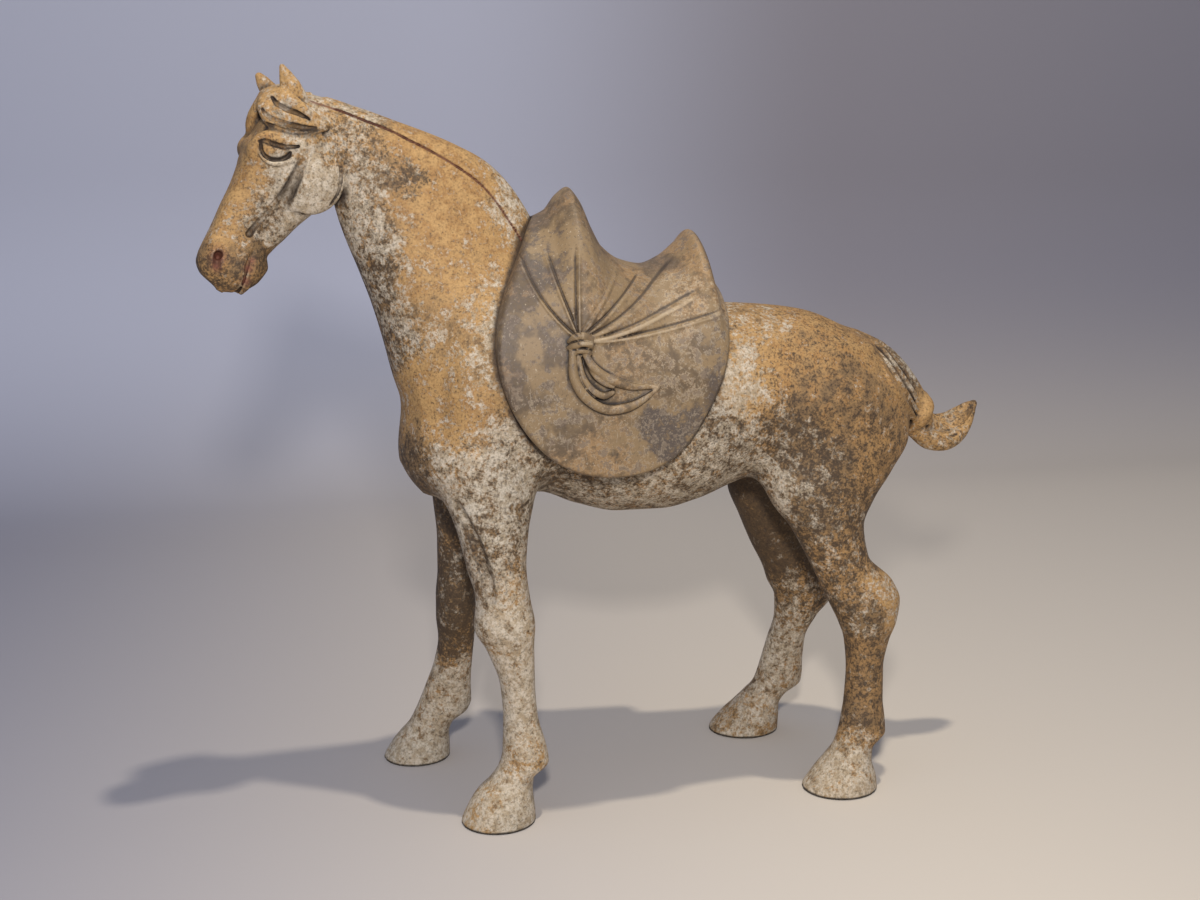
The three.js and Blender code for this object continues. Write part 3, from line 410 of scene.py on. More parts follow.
# %% Legs
LEG_SMEAR = 34.0
LEGS = {
    "left_fore": [
        [-20, -258, -157, -117, 46], [0, -258, -157, -116, 46], [20, -250, -158, -115, 44],
        [42, -236, -160, -113, 37], [60, -217, -158, -112, 30], [80, -204, -137, -110, 29],
        [96, -200, -139, -109, 28], [145, -198, -151, -106, 23], [188, -201, -154, -104, 23],
        [238, -218, -154, -100, 30], [270, -234, -152, -98, 36], [307, -231, -158, -95, 34],
        [348, -241, -162, -91, 36], [396, -252, -158, -86, 42], [447, -268, -148, -80, 46],
        [500, -278, -145, -70, 46], [560, -270, -160, -55, 36],
    ],
    "right_fore": [
        [-20, -344, -246, 127, 45], [0, -344, -246, 126, 45], [20, -334, -246, 125, 43],
        [37, -322, -247, 123, 37], [56, -306, -240, 121, 30], [72, -298, -219, 119, 29],
        [88, -291, -213, 117, 28], [118, -280, -214, 112, 24], [154, -268, -212, 106, 24],
        [192, -262, -209, 99, 27], [228, -265, -207, 93, 34], [260, -265, -208, 89, 34],
        [300, -262, -200, 86, 33], [348, -262, -185, 83, 37], [396, -266, -168, 80, 42],
        [447, -272, -150, 76, 46], [500, -278, -145, 68, 46], [560, -270, -160, 54, 36],
    ],
    "left_hind": [
        [-20, 231, 339, -116, 48], [0, 231, 339, -115, 48], [18, 243, 337, -114, 46],
        [42, 264, 331, -111, 37], [60, 277, 334, -110, 30], [80, 284, 353, -108, 29],
        [100, 289, 352, -106, 28], [127, 293, 349, -104, 25], [173, 296, 349, -101, 25],
        [213, 293, 357, -98, 30], [240, 284, 368, -96, 35], [270, 269, 373, -94, 37],
        [297, 256, 362, -92, 35], [335, 237, 325, -89, 36], [379, 213, 318, -84, 42],
        [415, 186, 334, -78, 49], [453, 172, 362, -70, 56], [500, 172, 388, -62, 60],
        [560, 180, 368, -52, 58], [620, 205, 335, -40, 40],
    ],
    "right_hind": [
        [-20, 163, 272, 123, 47], [0, 163, 272, 122, 47], [22, 178, 272, 120, 45],
        [42, 198, 272, 118, 37], [60, 214, 283, 116, 30], [78, 230, 307, 114, 29],
        [95, 236, 308, 112, 28], [117, 241, 307, 109, 26], [152, 249, 308, 104, 26],
        [190, 258, 324, 99, 31], [222, 256, 345, 95, 37], [250, 242, 345, 92, 37],
        [272, 234, 337, 90, 36], [314, 212, 312, 87, 38], [358, 192, 308, 83, 44],
        [405, 172, 326, 78, 50], [453, 168, 362, 70, 56], [500, 172, 388, 62, 60],
        [560, 180, 368, 52, 58], [620, 205, 335, 40, 40],
    ],
}
for rows in LEGS.values():
    leg = loft(rows)
    table = np.array(rows)
    low = [table[:, 1].min(), (table[:, 3] - table[:, 4]).min(), table[0, 0]]
    high = [table[:, 2].max(), (table[:, 3] + table[:, 4]).max(), 620]
    horse.lay(lambda x, y, z, leg=leg: leg(z, x, y), LEG_SMEAR, [*low, *high], REACH)

ARM_GROOVE = [
    [-254, 106, 442, 1.5], [-248, 110, 427, 3], [-240, 113, 410, 4.2], [-233, 115.5, 393, 4.8],
    [-227, 117, 373, 4.8], [-221, 119, 352, 4.6], [-217, 120, 331, 3.8], [-214, 121, 314, 1.8],
]
ELBOW_CREASE = [[-186, 118, 522, 1.5], [-174, 118, 497, 2.6], [-167, 115, 473, 2]]
GASKIN_GROOVE = [[286, 124, 412, 1.5], [294, 121, 380, 3.5], [302, 120, 348, 3.5], [311, 123, 318, 1.5]]
RIGHT_HIND_SHIFT = -26.0


# %% [markdown]
# The tail's strands lie on the rump down to a band. Below it the end turns out and up, and is rolled into
# a hollow leaf. Rolls of clay make both, and the strands are scratched into the first of them.

# %% Tail
TAIL_SMEAR = 7.0
HAIR_SMEAR = 5.0
TAIL_ROOT = [
    [310, 0, 636, 10], [332, 0, 628, 14], [359, 0, 613, 17], [377, 0, 601, 17], [395, 0, 584, 17],
    [410, 0, 567, 16], [422, 0, 548, 17], [431, 0, 527, 19], [436, 0, 508, 19],
]
TAIL_STRANDS = [
    [[340, -6, 633, 3], [366, -12, 622, 5], [382, -18, 603, 6], [400, -19, 581, 6], [415, -18, 558, 6], [427, -19, 534, 5]],
    [[344, -12, 630, 2.5], [364, -24, 614, 5], [376, -34, 595, 6], [394, -36, 571, 6], [412, -30, 548, 6],
     [426, -22, 524, 5]],
    [[350, -28, 619, 2.5], [362, -48, 599, 4.5], [371, -60, 579, 5], [392, -50, 554, 5], [410, -34, 534, 5],
     [424, -22, 518, 4]],
    [[344, -46, 614, 2.5], [345, -66, 602, 4], [347, -81, 586, 4.5], [356, -86, 570, 4.5], [373, -78, 551, 4.5],
     [396, -54, 532, 4.5], [416, -28, 514, 4]],
]
TAIL_BAND = [
    [440, 0, 541, 9], [438, -20, 530, 11], [428, -25, 514, 11], [414, -10, 499, 9], [410, 0, 497, 8],
    [414, 10, 499, 9], [428, 23, 514, 10], [438, 19, 530, 10], [440, 0, 541, 9],
]
TAIL_ENDS = [
    [[430, -6, 494, 14], [448, -11, 480, 15], [474, -13, 476, 13], [495, -10, 485, 10.5], [510, -6, 503, 8],
     [522, 0, 526, 4]],
    [[436, 2, 508, 14], [462, 2, 494, 11], [484, 2, 490, 10], [502, 2, 501, 8], [516, 1, 517, 6]],
    [[440, 8, 512, 13], [464, 12, 502, 11], [484, 13, 504, 10], [500, 12, 512, 9], [514, 8, 522, 7],
     [523, 2, 529, 4]],
]
horse.lay(roll(TAIL_ROOT, flat=1.25), TAIL_SMEAR, pad=REACH)


for side in (-1, 1):
    for points in TAIL_STRANDS:
        horse.lay(roll([[x, -side * y, z, r] for x, y, z, r in points]), 1.5)
    horse.carve(roll([[x, side * (y + 2), z, r + 1.5] for x, y, z, r in ARM_GROOVE]), 8)
    horse.carve(roll([[x, side * y, z, r] for x, y, z, r in ELBOW_CREASE]), 3)
    shift = RIGHT_HIND_SHIFT if side > 0 else 0
    horse.carve(roll([[x + shift, side * y, z, r] for x, y, z, r in GASKIN_GROOVE]), 5)
horse.lay(roll(TAIL_BAND), HAIR_SMEAR)
for points in TAIL_ENDS:
    horse.lay(roll(points), HAIR_SMEAR)
TAIL_LINES = [
    [[436, -18, 507, 1.5], [447, -24, 491, 2.6], [462, -28, 479, 2.8], [477, -26, 474, 1.2]],
    [[445, -24, 502, 1.5], [458, -25, 490, 2.6], [472, -24, 485, 2.6], [488, -19, 487, 1.2]],
    [[446, -24, 520, 1.5], [456, -17, 512, 3], [468, -10, 506, 4.5], [480, -8, 499, 5.5], [495, -8, 502, 5.5],
     [508, -7, 513, 4.5], [516, -5, 522, 2.5]],
    [[452, 20, 494, 1.5], [476, 22, 492, 3], [498, 17, 500, 2]],
]
for points in TAIL_LINES:
    horse.carve(roll(points), 2)
print("trunk, neck, legs and tail", len(horse.steps), "steps")

# %% [markdown]
# The head hangs at a steep angle and is turned a little to the horse's left. It gets a frame of its own:
# down from the poll to the muzzle, out from the jaw to the forehead, and sideways. The skull is a squarer
# loft. Cheeks, brows, eyes, nostrils and mouth are laid on it or carved from it, once for each side.

# %% Head
HEAD_TURN = math.radians(12)
HEAD_PITCH = math.radians(58)
POLL = np.array([-405.0, 0.0, 935.0])
facing = np.array([-math.cos(HEAD_TURN), -math.sin(HEAD_TURN), 0])
upright = np.array([0.0, 0.0, 1.0])
DOWN = facing * math.cos(HEAD_PITCH) - upright * math.sin(HEAD_PITCH)
OUT = facing * math.sin(HEAD_PITCH) + upright * math.cos(HEAD_PITCH)
SIDE = np.array([math.sin(HEAD_TURN), -math.cos(HEAD_TURN), 0])
HEAD_AXES = [DOWN, OUT, SIDE]
HEAD_BOX = [-590, -110, 690, -360, 70, 1010]


def head_point(down, out, side):
    return POLL + DOWN * down + OUT * out + SIDE * side


def head_roll(points, **settings):
    return roll([[*head_point(d, o, s), r] for d, o, s, r in points], **settings)


def head_frame(x, y, z):
    return [(x - POLL[0]) * a[0] + (y - POLL[1]) * a[1] + (z - POLL[2]) * a[2] for a in HEAD_AXES]


SKULL = loft([
    [-22, -12, 6, 0, 12], [-3, -28, 36, 0, 30], [20, -44, 56, 0, 41], [50, -50, 63, 0, 45],
    [82, -52, 64, 0, 44], [98, -52, 63, 0, 41], [110, -50, 60, 0, 38], [139, -40, 56, 0, 32],
    [158, -35, 55, 0, 29], [190, -27, 52, 0, 27], [206, -35, 51, 0, 28], [223, -33, 50, 0, 28],
    [238, -26, 47, 0, 25], [250, -15, 36, 0, 17], [259, 0, 8, 0, 5],
], widest=0.55, low_power=2.8, high_power=3.2)
horse.lay(lambda x, y, z: SKULL(*head_frame(x, y, z)), 16, HEAD_BOX, REACH)

EYE_LONG = 0.37 * DOWN + 0.93 * OUT
EYE_TALL = 0.93 * DOWN - 0.37 * OUT
EYE_AXES = [EYE_LONG, EYE_TALL, SIDE]
FACE_SMEAR = 6.0
LAID_ON_FACE = [
    ("brow", 13, [[86, 58, 30, 4], [78, 61, 35, 5], [70, 59, 39, 6], [63, 53, 41, 6.5], [60, 44, 42, 6.5],
                  [56.5, 29, 42.5, 6.5], [50, 15, 43, 5.5], [44, 5, 42, 4]]),
    ("lower lid", 2, [[84, 54, 40, 2], [89, 44, 42, 3], [89.5, 34, 44, 3], [84, 24, 45.5, 3], [75, 16, 46, 3],
                      [63, 13, 45, 2]]),
    ("cheekbone", 6, [[52, 12, 42, 4], [72, 6, 43.5, 5], [88, 6, 41.5, 5.5], [109, 10, 34.5, 5.5],
                      [127, 16, 30, 5], [145, 21, 27.5, 4], [163, 22, 25.5, 3]]),
    ("nostril wing", 8, [[210, 40, 20, 6], [222, 33, 21.5, 7.5], [234, 24, 20, 7]]),
    ("mouth corner", 5, [[183, 3, 21, 4], [192, 5, 22, 5.5], [201, 4, 22, 4.5]]),
    ("lower lip", 3, [[205, -13, 23, 3], [220, -17, 21, 4], [236, -20, 17, 4], [247, -19, 9, 3]]),
]
CUT_IN_FACE = [
    ("hollow of the cheek", 9, [[70, 2, 49, 2], [90, 0, 45, 5], [114, -3, 38, 6.5], [137, -4, 32.5, 6.5],
                                [160, -5, 29, 5.5], [178, -9, 27, 3]]),
    ("upper groove", 3, [[123, 2, 35, 1.2], [136, 5, 33, 2.4], [150, 7, 30.5, 2.8], [164, 10, 28, 2.8],
                         [178, 11.5, 25.5, 4]]),
    ("jaw groove", 3, [[118, -42, 30, 1.5], [126, -27, 34, 2.8], [138, -20.5, 31.5, 3], [155, -18.5, 28.5, 3],
                       [174, -18.5, 26, 1.5]]),
    ("edge of the cheek", 2, [[21, 2, 42, 1], [24, -8, 41.5, 2], [28, -20, 40.5, 2.2], [37, -33.5, 40, 2.4],
                              [50, -45.5, 41, 2.4], [73, -56, 41, 2.2], [95, -56, 40, 1.5]]),
    ("nostril", 2, [[220, 32, 29, 5.6], [221, 31, 22, 5], [223, 29, 16, 3]]),
    ("notch of the chin", 4, [[189, -30, 8, 3], [191.5, -25, 17, 3.5], [188, -20, 23, 2]]),
    ("nostril groove", 5, [[226, 31, 28, 3], [233, 27, 27.5, 3.2], [240, 21, 26, 2]]),
    ("mouth", 1.5, [[195, -4.5, 27.5, 3.2], [200, -4, 27.5, 2.6], [207, -4, 27, 2.4], [219, -7, 25, 2.4],
                    [233, -11.5, 21, 2.4], [249, -13.5, 9, 2.2], [253, -13, 0, 2]]),
]
EYE_RIM = [
    [74, 57, 43, 1.2], [82, 52, 43, 2], [86.5, 44, 43, 2.2], [87, 36, 43, 2.2], [83.5, 28, 43, 2.2],
    [73.5, 21.5, 43, 1.8], [63, 19.5, 43, 1],
]
LID_CREASE = [
    [74.5, 60, 44, 1.2], [70.5, 54.5, 46, 2.4], [68.5, 44, 47.5, 2.6], [64, 30.5, 47.5, 2.5], [56, 18.5, 48, 2],
    [50, 11, 47, 1],
]


def on_side(points, side):
    return [[d, o, side * s, r] for d, o, s, r in points]


horse.lay(head_roll([[84, 59, -30, 6], [80, 58, -14, 8], [80, 58, 14, 8], [84, 59, 30, 6]]), 10)
for side in (-1, 1):
    horse.lay(lump(head_point(79, -17, side * 33), (47, 46, 17), HEAD_AXES), FACE_SMEAR)
    horse.carve(lump(head_point(75, 38, side * 51), (25, 15, 11), EYE_AXES), FACE_SMEAR)
    horse.lay(lump(head_point(74.5, 38, side * 38), (17.5, 10, 10.5), EYE_AXES), 1)
    for _, smear, points in LAID_ON_FACE:
        horse.lay(head_roll(on_side(points, side)), smear)
    for _, smear, points in CUT_IN_FACE:
        horse.carve(head_roll(on_side(points, side)), smear)
    horse.carve(head_roll(on_side(EYE_RIM, side)), 1.5)
    horse.carve(head_roll(on_side(LID_CREASE, side)), 1.5)

# %% [markdown]
# The ears are two small cones with a hollow front. The forelock starts between them and is parted in the
# middle: three locks sweep down over the brow on each side, with scratched lines between them.

# %% Ears and forelock
EARS = [
    [[1, 42, 24, 13], [-6, 56, 26, 13], [-15, 68, 26, 8], [-22, 77, 25, 3.5]],
    [[10, 50, -24, 13], [6, 66, -23, 12], [1, 79, -22, 9], [-3, 88, -21, 5]],
]
EAR_HOLLOWS = [
    [[2, 62, 33, 3], [-7, 70, 33, 4], [-15, 77, 30, 2]],
    [[12, 70, -30, 3], [6, 79, -29, 4], [0, 86, -26, 2]],
]
for points in EARS:
    horse.lay(head_roll(points, flat=0.7), FACE_SMEAR)
for points in EAR_HOLLOWS:
    horse.carve(head_roll(points), 3)

FORELOCK_LOCKS = 3
LOCK_SMEAR = 7.0
horse.lay(head_roll([[-4, 54, 0, 9], [10, 66, 0, 10], [30, 70, 0, 8]]), LOCK_SMEAR)
for side in (-1, 1):
    low, back = (0, 0) if side > 0 else (14, 6)
    for i in range(FORELOCK_LOCKS):
        t = i / (FORELOCK_LOCKS - 1)
        horse.lay(head_roll([
            [2 + 14 * t, 60 + 12 * t, side * (6 + 4 * t), 8],
            [8 + (24 + low) * t, 60 - back + 13 * t, side * (26 + 2 * t), 9],
            [11 + (32 + low) * t, 44 + 14 * t, side * 38, 9],
            [12 + (27 + low) * t, 28 + 6 * t, side * 43, 7.5],
            [12 + 16 * t, 12 + 2 * t, side * 45, 5],
            [11 + 5 * t, 1 - 3 * t, side * 45, 3],
        ]), LOCK_SMEAR if i else 2.5)
LOCK_LINES = [
    [[18.5, 70.5, 33.5, 1.4], [23, 62, 41, 2.8], [23, 55, 44, 3], [23, 49, 46, 3], [21.5, 41, 46, 3],
     [20, 33, 46.5, 2.8], [19, 21, 48, 1.2]],
    [[38, 75, 38, 1.4], [42, 68, 43, 2.6], [42, 57, 47, 2.8], [40, 47, 48.5, 3], [38.5, 39, 49, 3],
     [35, 31, 48.5, 3], [31.5, 22.5, 48.5, 2.8], [23.5, 9, 50, 1.2]],
    [[50.5, 62.5, 41, 1.5], [48.5, 51, 47, 2.2], [45, 35.5, 49, 2.2], [34.5, 16.5, 49, 2.2], [23, 2.5, 48.5, 1]],
]
for side in (-1, 1):
    for points in LOCK_LINES:
        horse.carve(head_roll(on_side(points, side)), 2)
print("horse", len(horse.steps), "steps")

# %% [markdown]
# The saddle is one shell of clay. Seen from the side its flap is a rounded outline, given as a radius for
# each direction round its middle, and over the back its top follows a line with two horns. The skin
# between them stands upright at the flaps and curves over to that line, like the end of a long egg.

# %% Saddle
FLAP_THICKNESS = 10.0 / SHARE
FLAP_FACE = 150.0
FLAP_SHOULDER = 600.0
FLAP_CENTRE = (-50.0, 625.0)
FLAP_RADIUS = 150.0
FLAP_DOME = 9.0
SKIN_CURVE = 1.62
RISE_CURVE = 2.1
CLOTH_EDGE = 7.0
SEAT_ROOF = 600.0
SADDLE_GAP = 0.35 / SHARE

flap_rim = outline([
    [-180, 300], [-161, 258], [-154, 205], [-148, 189], [-140, 176], [-131, 167], [-124, 163], [-114, 159],
    [-99, 154], [-86, 150], [-72, 147], [-59, 146], [-47, 147], [-36, 149], [-16, 151], [0, 151], [19, 152],
    [30, 151], [47, 145], [59, 142], [72, 143], [86, 149], [99, 158], [112, 177], [119, 189], [125, 195],
    [132, 202], [138, 217], [142, 233], [150, 283], [180, 300],
])
seat_line = outline([
    [-215, 800], [-140, 806], [-118, 815], [-101, 836], [-87, 845], [-74, 832], [-60, 800], [-42, 768],
    [-14, 748], [15, 742], [42, 752], [68, 773], [82, 787], [88, 785], [92, 779], [95, 766],
    [98, 751], [103, 736], [110, 725], [120, 716], [140, 707],
])


def flap_face(x, z):
    far = np.hypot(x - FLAP_CENTRE[0], np.minimum(z, FLAP_SHOULDER) - FLAP_CENTRE[1]) / FLAP_RADIUS
    return FLAP_FACE - FLAP_DOME * np.minimum(far, 1.2) ** 2


def shell(x, across, z):
    """Below 0 under the saddle's skin: the share of the breadth and the share of the rise, added up."""
    rise = np.maximum(z - FLAP_SHOULDER, 0) / (seat_line(x)[0] - FLAP_SHOULDER)
    return (np.maximum(across, 0) / flap_face(x, z)) ** SKIN_CURVE + rise**RISE_CURVE - 1


def rim_gap(x, z):
    dx, dz = x - FLAP_CENTRE[0], z - FLAP_CENTRE[1]
    rim, lean = flap_rim(np.degrees(np.arctan2(dx, -dz)))
    return (np.hypot(dx, dz) - rim) / np.hypot(1, np.degrees(lean) / rim)


# %% [markdown]
# The cloth was gathered in a fist and tied. Each fold runs up from the knot in a slack curve and fades out
# towards the seat or the rim. A fold is a ridge: its height falls off sideways from its own line, and
# where several meet at the knot the highest of them counts, so that they don't pile up.

# %% Folds and knot
KNOT = (-99.0, 655.0)
FOLDS = [
    [-169, 774, -147, 709, 2.8, 1.7, -1], [-134, 772, -121, 716, 2.8, 1.7, -1], [-90, 775, -96, 720, 3.0, 1.9, 1],
    [-19, 750, -57, 712, 1.6, 2.2, 0], [7, 732, -34, 703, 2.2, 2.0, 1], [78, 764, -20, 690, 2.6, 3.4, 1],
    [98, 724, -14, 671, 4.4, 3.0, 1], [120, 692, 0, 661, 3.4, 2.2, 1],
]
FOLD_PARTS = 8
CREASE_DEPTH = 3.6
CREASE_BREADTH = 1.7
LEAST_SLOPE = 0.004


def fold_height(x, z):
    """Rows of end, bend, height, breadth and the side on which a crease is pressed next to the ridge."""
    ridge, crease = np.zeros(x.shape), np.zeros(x.shape)
    for end_x, end_z, bend_x, bend_z, height, breadth, pressed in FOLDS:
        start, end, bend = np.array(KNOT), np.array([end_x, end_z]), np.array([bend_x, bend_z])
        control = 2 * bend - (end + start) / 2
        t = np.linspace(0, 1, FOLD_PARTS + 1)[:, None]
        points = (1 - t) ** 2 * start + 2 * t * (1 - t) * control + t**2 * end
        nearest, place, across = np.full(x.shape, 1e3), np.zeros(x.shape), np.zeros(x.shape)
        for i, (a, b) in enumerate(zip(points[:-1], points[1:])):
            u = b - a
            dx, dz = x - a[0], z - a[1]
            share = np.clip((dx * u[0] + dz * u[1]) / (u @ u), 0, 1)
            gap = np.hypot(dx - u[0] * share, dz - u[1] * share)
            closer = gap < nearest
            place = np.where(closer, (i + share) / FOLD_PARTS, place)
            across = np.where(closer, np.sign(dz * u[0] - dx * u[1]) * gap, across)
            nearest = np.where(closer, gap, nearest)
        width = breadth * (1 + 0.4 * place)
        fade = np.clip((1 - place) * 6, 0, 1)
        ridge = np.maximum(ridge, height * fade * (1 - 0.4 * place) * np.exp(-((nearest / width) ** 2)))
        for sign in (-1, 1):
            if pressed in (0, sign):
                gap = across * sign - width - 1.4
                depth = CREASE_DEPTH * (1 if pressed else 0.4) * fade * (1 - 0.3 * place)
                crease = np.maximum(crease, depth * np.exp(-((gap / (CREASE_BREADTH + 0.4 * breadth * place)) ** 2)))
    return ridge - crease * np.clip(1 - ridge / 3, 0, 1)


def saddle_start(x, y, z):
    across, h = np.abs(y) - fold_height(x, z), 0.5
    here = shell(x, across, z)
    slope_x = (shell(x + h, across, z) - here) / h
    slope_y = (shell(x, across + h, z) - here) / h
    slope_z = (shell(x, across, z + h) - here) / h
    value = here / np.maximum(np.sqrt(slope_x**2 + slope_y**2 + slope_z**2), LEAST_SLOPE)
    value = soft_max(value, rim_gap(x, z), CLOTH_EDGE)
    under = np.minimum(flap_face(x, z) - FLAP_THICKNESS - np.abs(y), SEAT_ROOF - z)
    return soft_max(value, under, 3)


KNOT_ENDS = [
    [[-109, 149, 643, 5], [-108, 152, 612, 6.5], [-95, 153, 587, 7], [-68, 153, 569, 6.5], [-38, 152, 570, 6],
     [-14, 151, 581, 4], [4, 148, 594, 1.5]],
    [[-94, 150, 641, 4.5], [-84, 153, 624, 5.5], [-62, 153, 607, 6], [-34, 152, 597, 5], [4, 148, 594, 1.5]],
    [[-101, 149, 638, 3], [-97, 152, 612, 4.5], [-86, 153, 595, 5], [-70, 153, 586, 5], [-58, 152, 590, 3.5]],
    [[-91, 149, 628, 3], [-79, 152, 610, 4], [-66, 152, 601, 4], [-58, 151, 597, 3]],
]
KNOT_WRAPS = [
    [[-113, 146, 656, 3], [-107, 155, 662, 4.5], [-97, 159, 664, 5], [-88, 155, 660, 4.5], [-84, 146, 654, 3]],
    [[-114, 146, 648, 3], [-107, 155, 652, 4.5], [-97, 159, 655, 4.5], [-88, 155, 652, 4.5], [-84, 146, 647, 3]],
    [[-108, 148, 642, 3], [-101, 154, 645, 4], [-92, 154, 644, 4], [-86, 148, 640, 3]],
]
saddle = Figure(saddle_start)
for side in (-1, 1):
    for points in KNOT_ENDS:
        saddle.lay(roll([[x, side * y, z, r] for x, y, z, r in points]), 1.5)
    saddle.lay(lump((KNOT[0], side * 146, KNOT[1] - 1), (14, 10, 11), WORLD), 2)
    for points in KNOT_WRAPS:
        saddle.lay(roll([[x, side * y, z, r] for x, y, z, r in points]), 1)


def saddle_on_horse(x, y, z):
    return np.maximum(saddle(x, y, z), SADDLE_GAP - horse(x, y, z))


print("saddle", len(FOLDS), "folds,", len(saddle.steps), "lumps and rolls")

# %% [markdown]
# A field has no skin yet. To find it, the field is read on a grid, and every grid cell with clay in one
# corner and air in another gets a point, at the middle of its crossings. The four cells round a crossed
# edge are then joined by one square face. Blocks that the skin can't reach are read only once.

# %% From field to mesh
BLOCK = 6
JOIN_DEPTH = 0.4
CORNERS = np.array([[c & 1, c >> 1 & 1, c >> 2 & 1] for c in range(8)])
EDGES = [(a, a + (1 << axis)) for axis in range(3) for a in range(8) if not a >> axis & 1]
FACES = [(0, 1, 3, 2), (4, 5, 7, 6), (0, 1, 5, 4), (2, 3, 7, 6), (0, 2, 6, 4), (1, 3, 7, 5)]


def sheets_of(code):
    """Which sheet of the skin crosses each edge of a cell, for one choice of corners in the clay."""
    inside = [code >> c & 1 for c in range(8)]
    label = [-1 if inside[a] == inside[b] else e for e, (a, b) in enumerate(EDGES)]
    for ring in FACES:
        sides = [tuple(sorted((ring[i], ring[(i + 1) % 4]))) for i in range(4)]
        crossed = [EDGES.index(pair) for pair in sides if label[EDGES.index(pair)] >= 0]
        if len(crossed) == 2:
            keep, drop = sorted((label[crossed[0]], label[crossed[1]]))
            label = [keep if value == drop else value for value in label]
    names = sorted(set(label) - {-1})
    return [names.index(value) if value >= 0 else -1 for value in label], len(names)


SHEETS = np.array([sheets_of(code)[0] for code in range(256)])
SHEET_COUNT = np.array([sheets_of(code)[1] for code in range(256)])


def read_field(field, axes):
    size = [len(a) for a in axes]
    values = np.empty(size, np.float32)
    starts = [np.arange(0, n, BLOCK) for n in size]
    ends = [np.minimum(s + BLOCK, n) - 1 for s, n in zip(starts, size)]
    middles = [(a[s] + a[e]) / 2 for a, s, e in zip(axes, starts, ends)]
    halves = [(a[e] - a[s]) / 2 for a, s, e in zip(axes, starts, ends)]
    mx, my, mz = np.meshgrid(*middles, indexing="ij")
    hx, hy, hz = np.meshgrid(*halves, indexing="ij")
    middle = field(mx.ravel(), my.ravel(), mz.ravel()).reshape(mx.shape)
    active = np.abs(middle) < 1.5 * np.sqrt(hx**2 + hy**2 + hz**2) + 2
    for i, j, k in np.argwhere(~active):
        values[starts[0][i] : ends[0][i] + 1, starts[1][j] : ends[1][j] + 1, starts[2][k] : ends[2][k] + 1] = middle[i, j, k]
    wanted = np.argwhere(active)
    spread = np.stack(np.meshgrid(*[np.arange(BLOCK)] * 3, indexing="ij"), -1).reshape(-1, 3)
    for part in np.array_split(wanted, max(1, len(wanted) // 1500)):
        at = (part[:, None, :] * BLOCK + spread[None]).reshape(-1, 3)
        at = at[(at < size).all(1)]
        found = field(axes[0][at[:, 0]], axes[1][at[:, 1]], axes[2][at[:, 2]])
        values[at[:, 0], at[:, 1], at[:, 2]] = np.where(found == 0, 1e-6, found)
    return values


def join_diagonals(values):
    """Where clay meets clay only across the diagonal of a square, one more corner is filled."""
    flat = values.reshape(-1)
    strides = [values.shape[1] * values.shape[2], values.shape[2], 1]
    for _ in range(6):
        joined = 0
        for axis in range(3):
            u, w = strides[(axis + 1) % 3], strides[(axis + 2) % 3]
            inside = flat < 0
            end = len(flat) - u - w
            a, b, c, d = inside[:end], inside[u + w :], inside[u : u + end], inside[w : w + end]
            at = np.flatnonzero((a == b) & (c == d) & (a != c))
            first = np.where(inside[at], at + u, at)
            second = np.where(inside[at], at + w, at + u + w)
            flat[np.where(flat[first] < flat[second], first, second)] = -JOIN_DEPTH
            joined += len(at)
        if not joined:
            return


def skin_mesh(field, axes):
    values = read_field(field, axes)
    join_diagonals(values)
    inside = values < 0
    nx, ny, nz = values.shape
    code = np.zeros((nx - 1, ny - 1, nz - 1), np.uint8)
    for c, (dx, dy, dz) in enumerate(CORNERS):
        code |= inside[dx : nx - 1 + dx, dy : ny - 1 + dy, dz : nz - 1 + dz].astype(np.uint8) << c
    cells = np.argwhere((code > 0) & (code < 255))
    kind = code[tuple(cells.T)].astype(int)
    corner = cells[:, None, :] + CORNERS[None]
    v = values[corner[..., 0], corner[..., 1], corner[..., 2]].astype(float)
    spot = np.stack([axes[n][corner[..., n]] for n in range(3)], -1)
    first = np.concatenate([[0], np.cumsum(SHEET_COUNT[kind])])
    total, count = np.zeros((first[-1], 3)), np.zeros(first[-1])
    for e, (a, b) in enumerate(EDGES):
        sheet = SHEETS[kind, e]
        at = np.flatnonzero(sheet >= 0)
        t = (v[at, a] / (v[at, a] - v[at, b]))[:, None]
        point = spot[at, a] + t * (spot[at, b] - spot[at, a])
        target = first[at] + sheet[at]
        count += np.bincount(target, minlength=first[-1])
        for n in range(3):
            total[:, n] += np.bincount(target, point[:, n], first[-1])
    points = total / count[:, None]
    key = (cells[:, 0] * ny + cells[:, 1]) * nz + cells[:, 2]
    strides = (ny * nz, nz, 1)
    quads = []
    for axis in range(3):
        u, w = (axis + 1) % 3, (axis + 2) % 3
        low = inside[tuple(slice(1, n - 1) for n in values.shape)]
        step_up = [slice(2, n) if m == axis else slice(1, n - 1) for m, n in enumerate(values.shape)]
        crossed = np.argwhere(low != inside[tuple(step_up)]) + 1
        here = (crossed[:, 0] * ny + crossed[:, 1]) * nz + crossed[:, 2]
        ring = []
        for du, dw in ((1, 1), (0, 1), (0, 0), (1, 0)):
            corner_bits = (du << u) + (dw << w)
            edge = EDGES.index((corner_bits, corner_bits + (1 << axis)))
            cell = np.searchsorted(key, here - du * strides[u] - dw * strides[w])
            ring.append(first[cell] + SHEETS[kind[cell], edge])
        ring = np.stack(ring, 1)
        flip = ~inside[tuple(crossed.T)]
        ring[flip] = ring[flip][:, ::-1]
        quads.append(ring)
    return points, np.concatenate(quads)


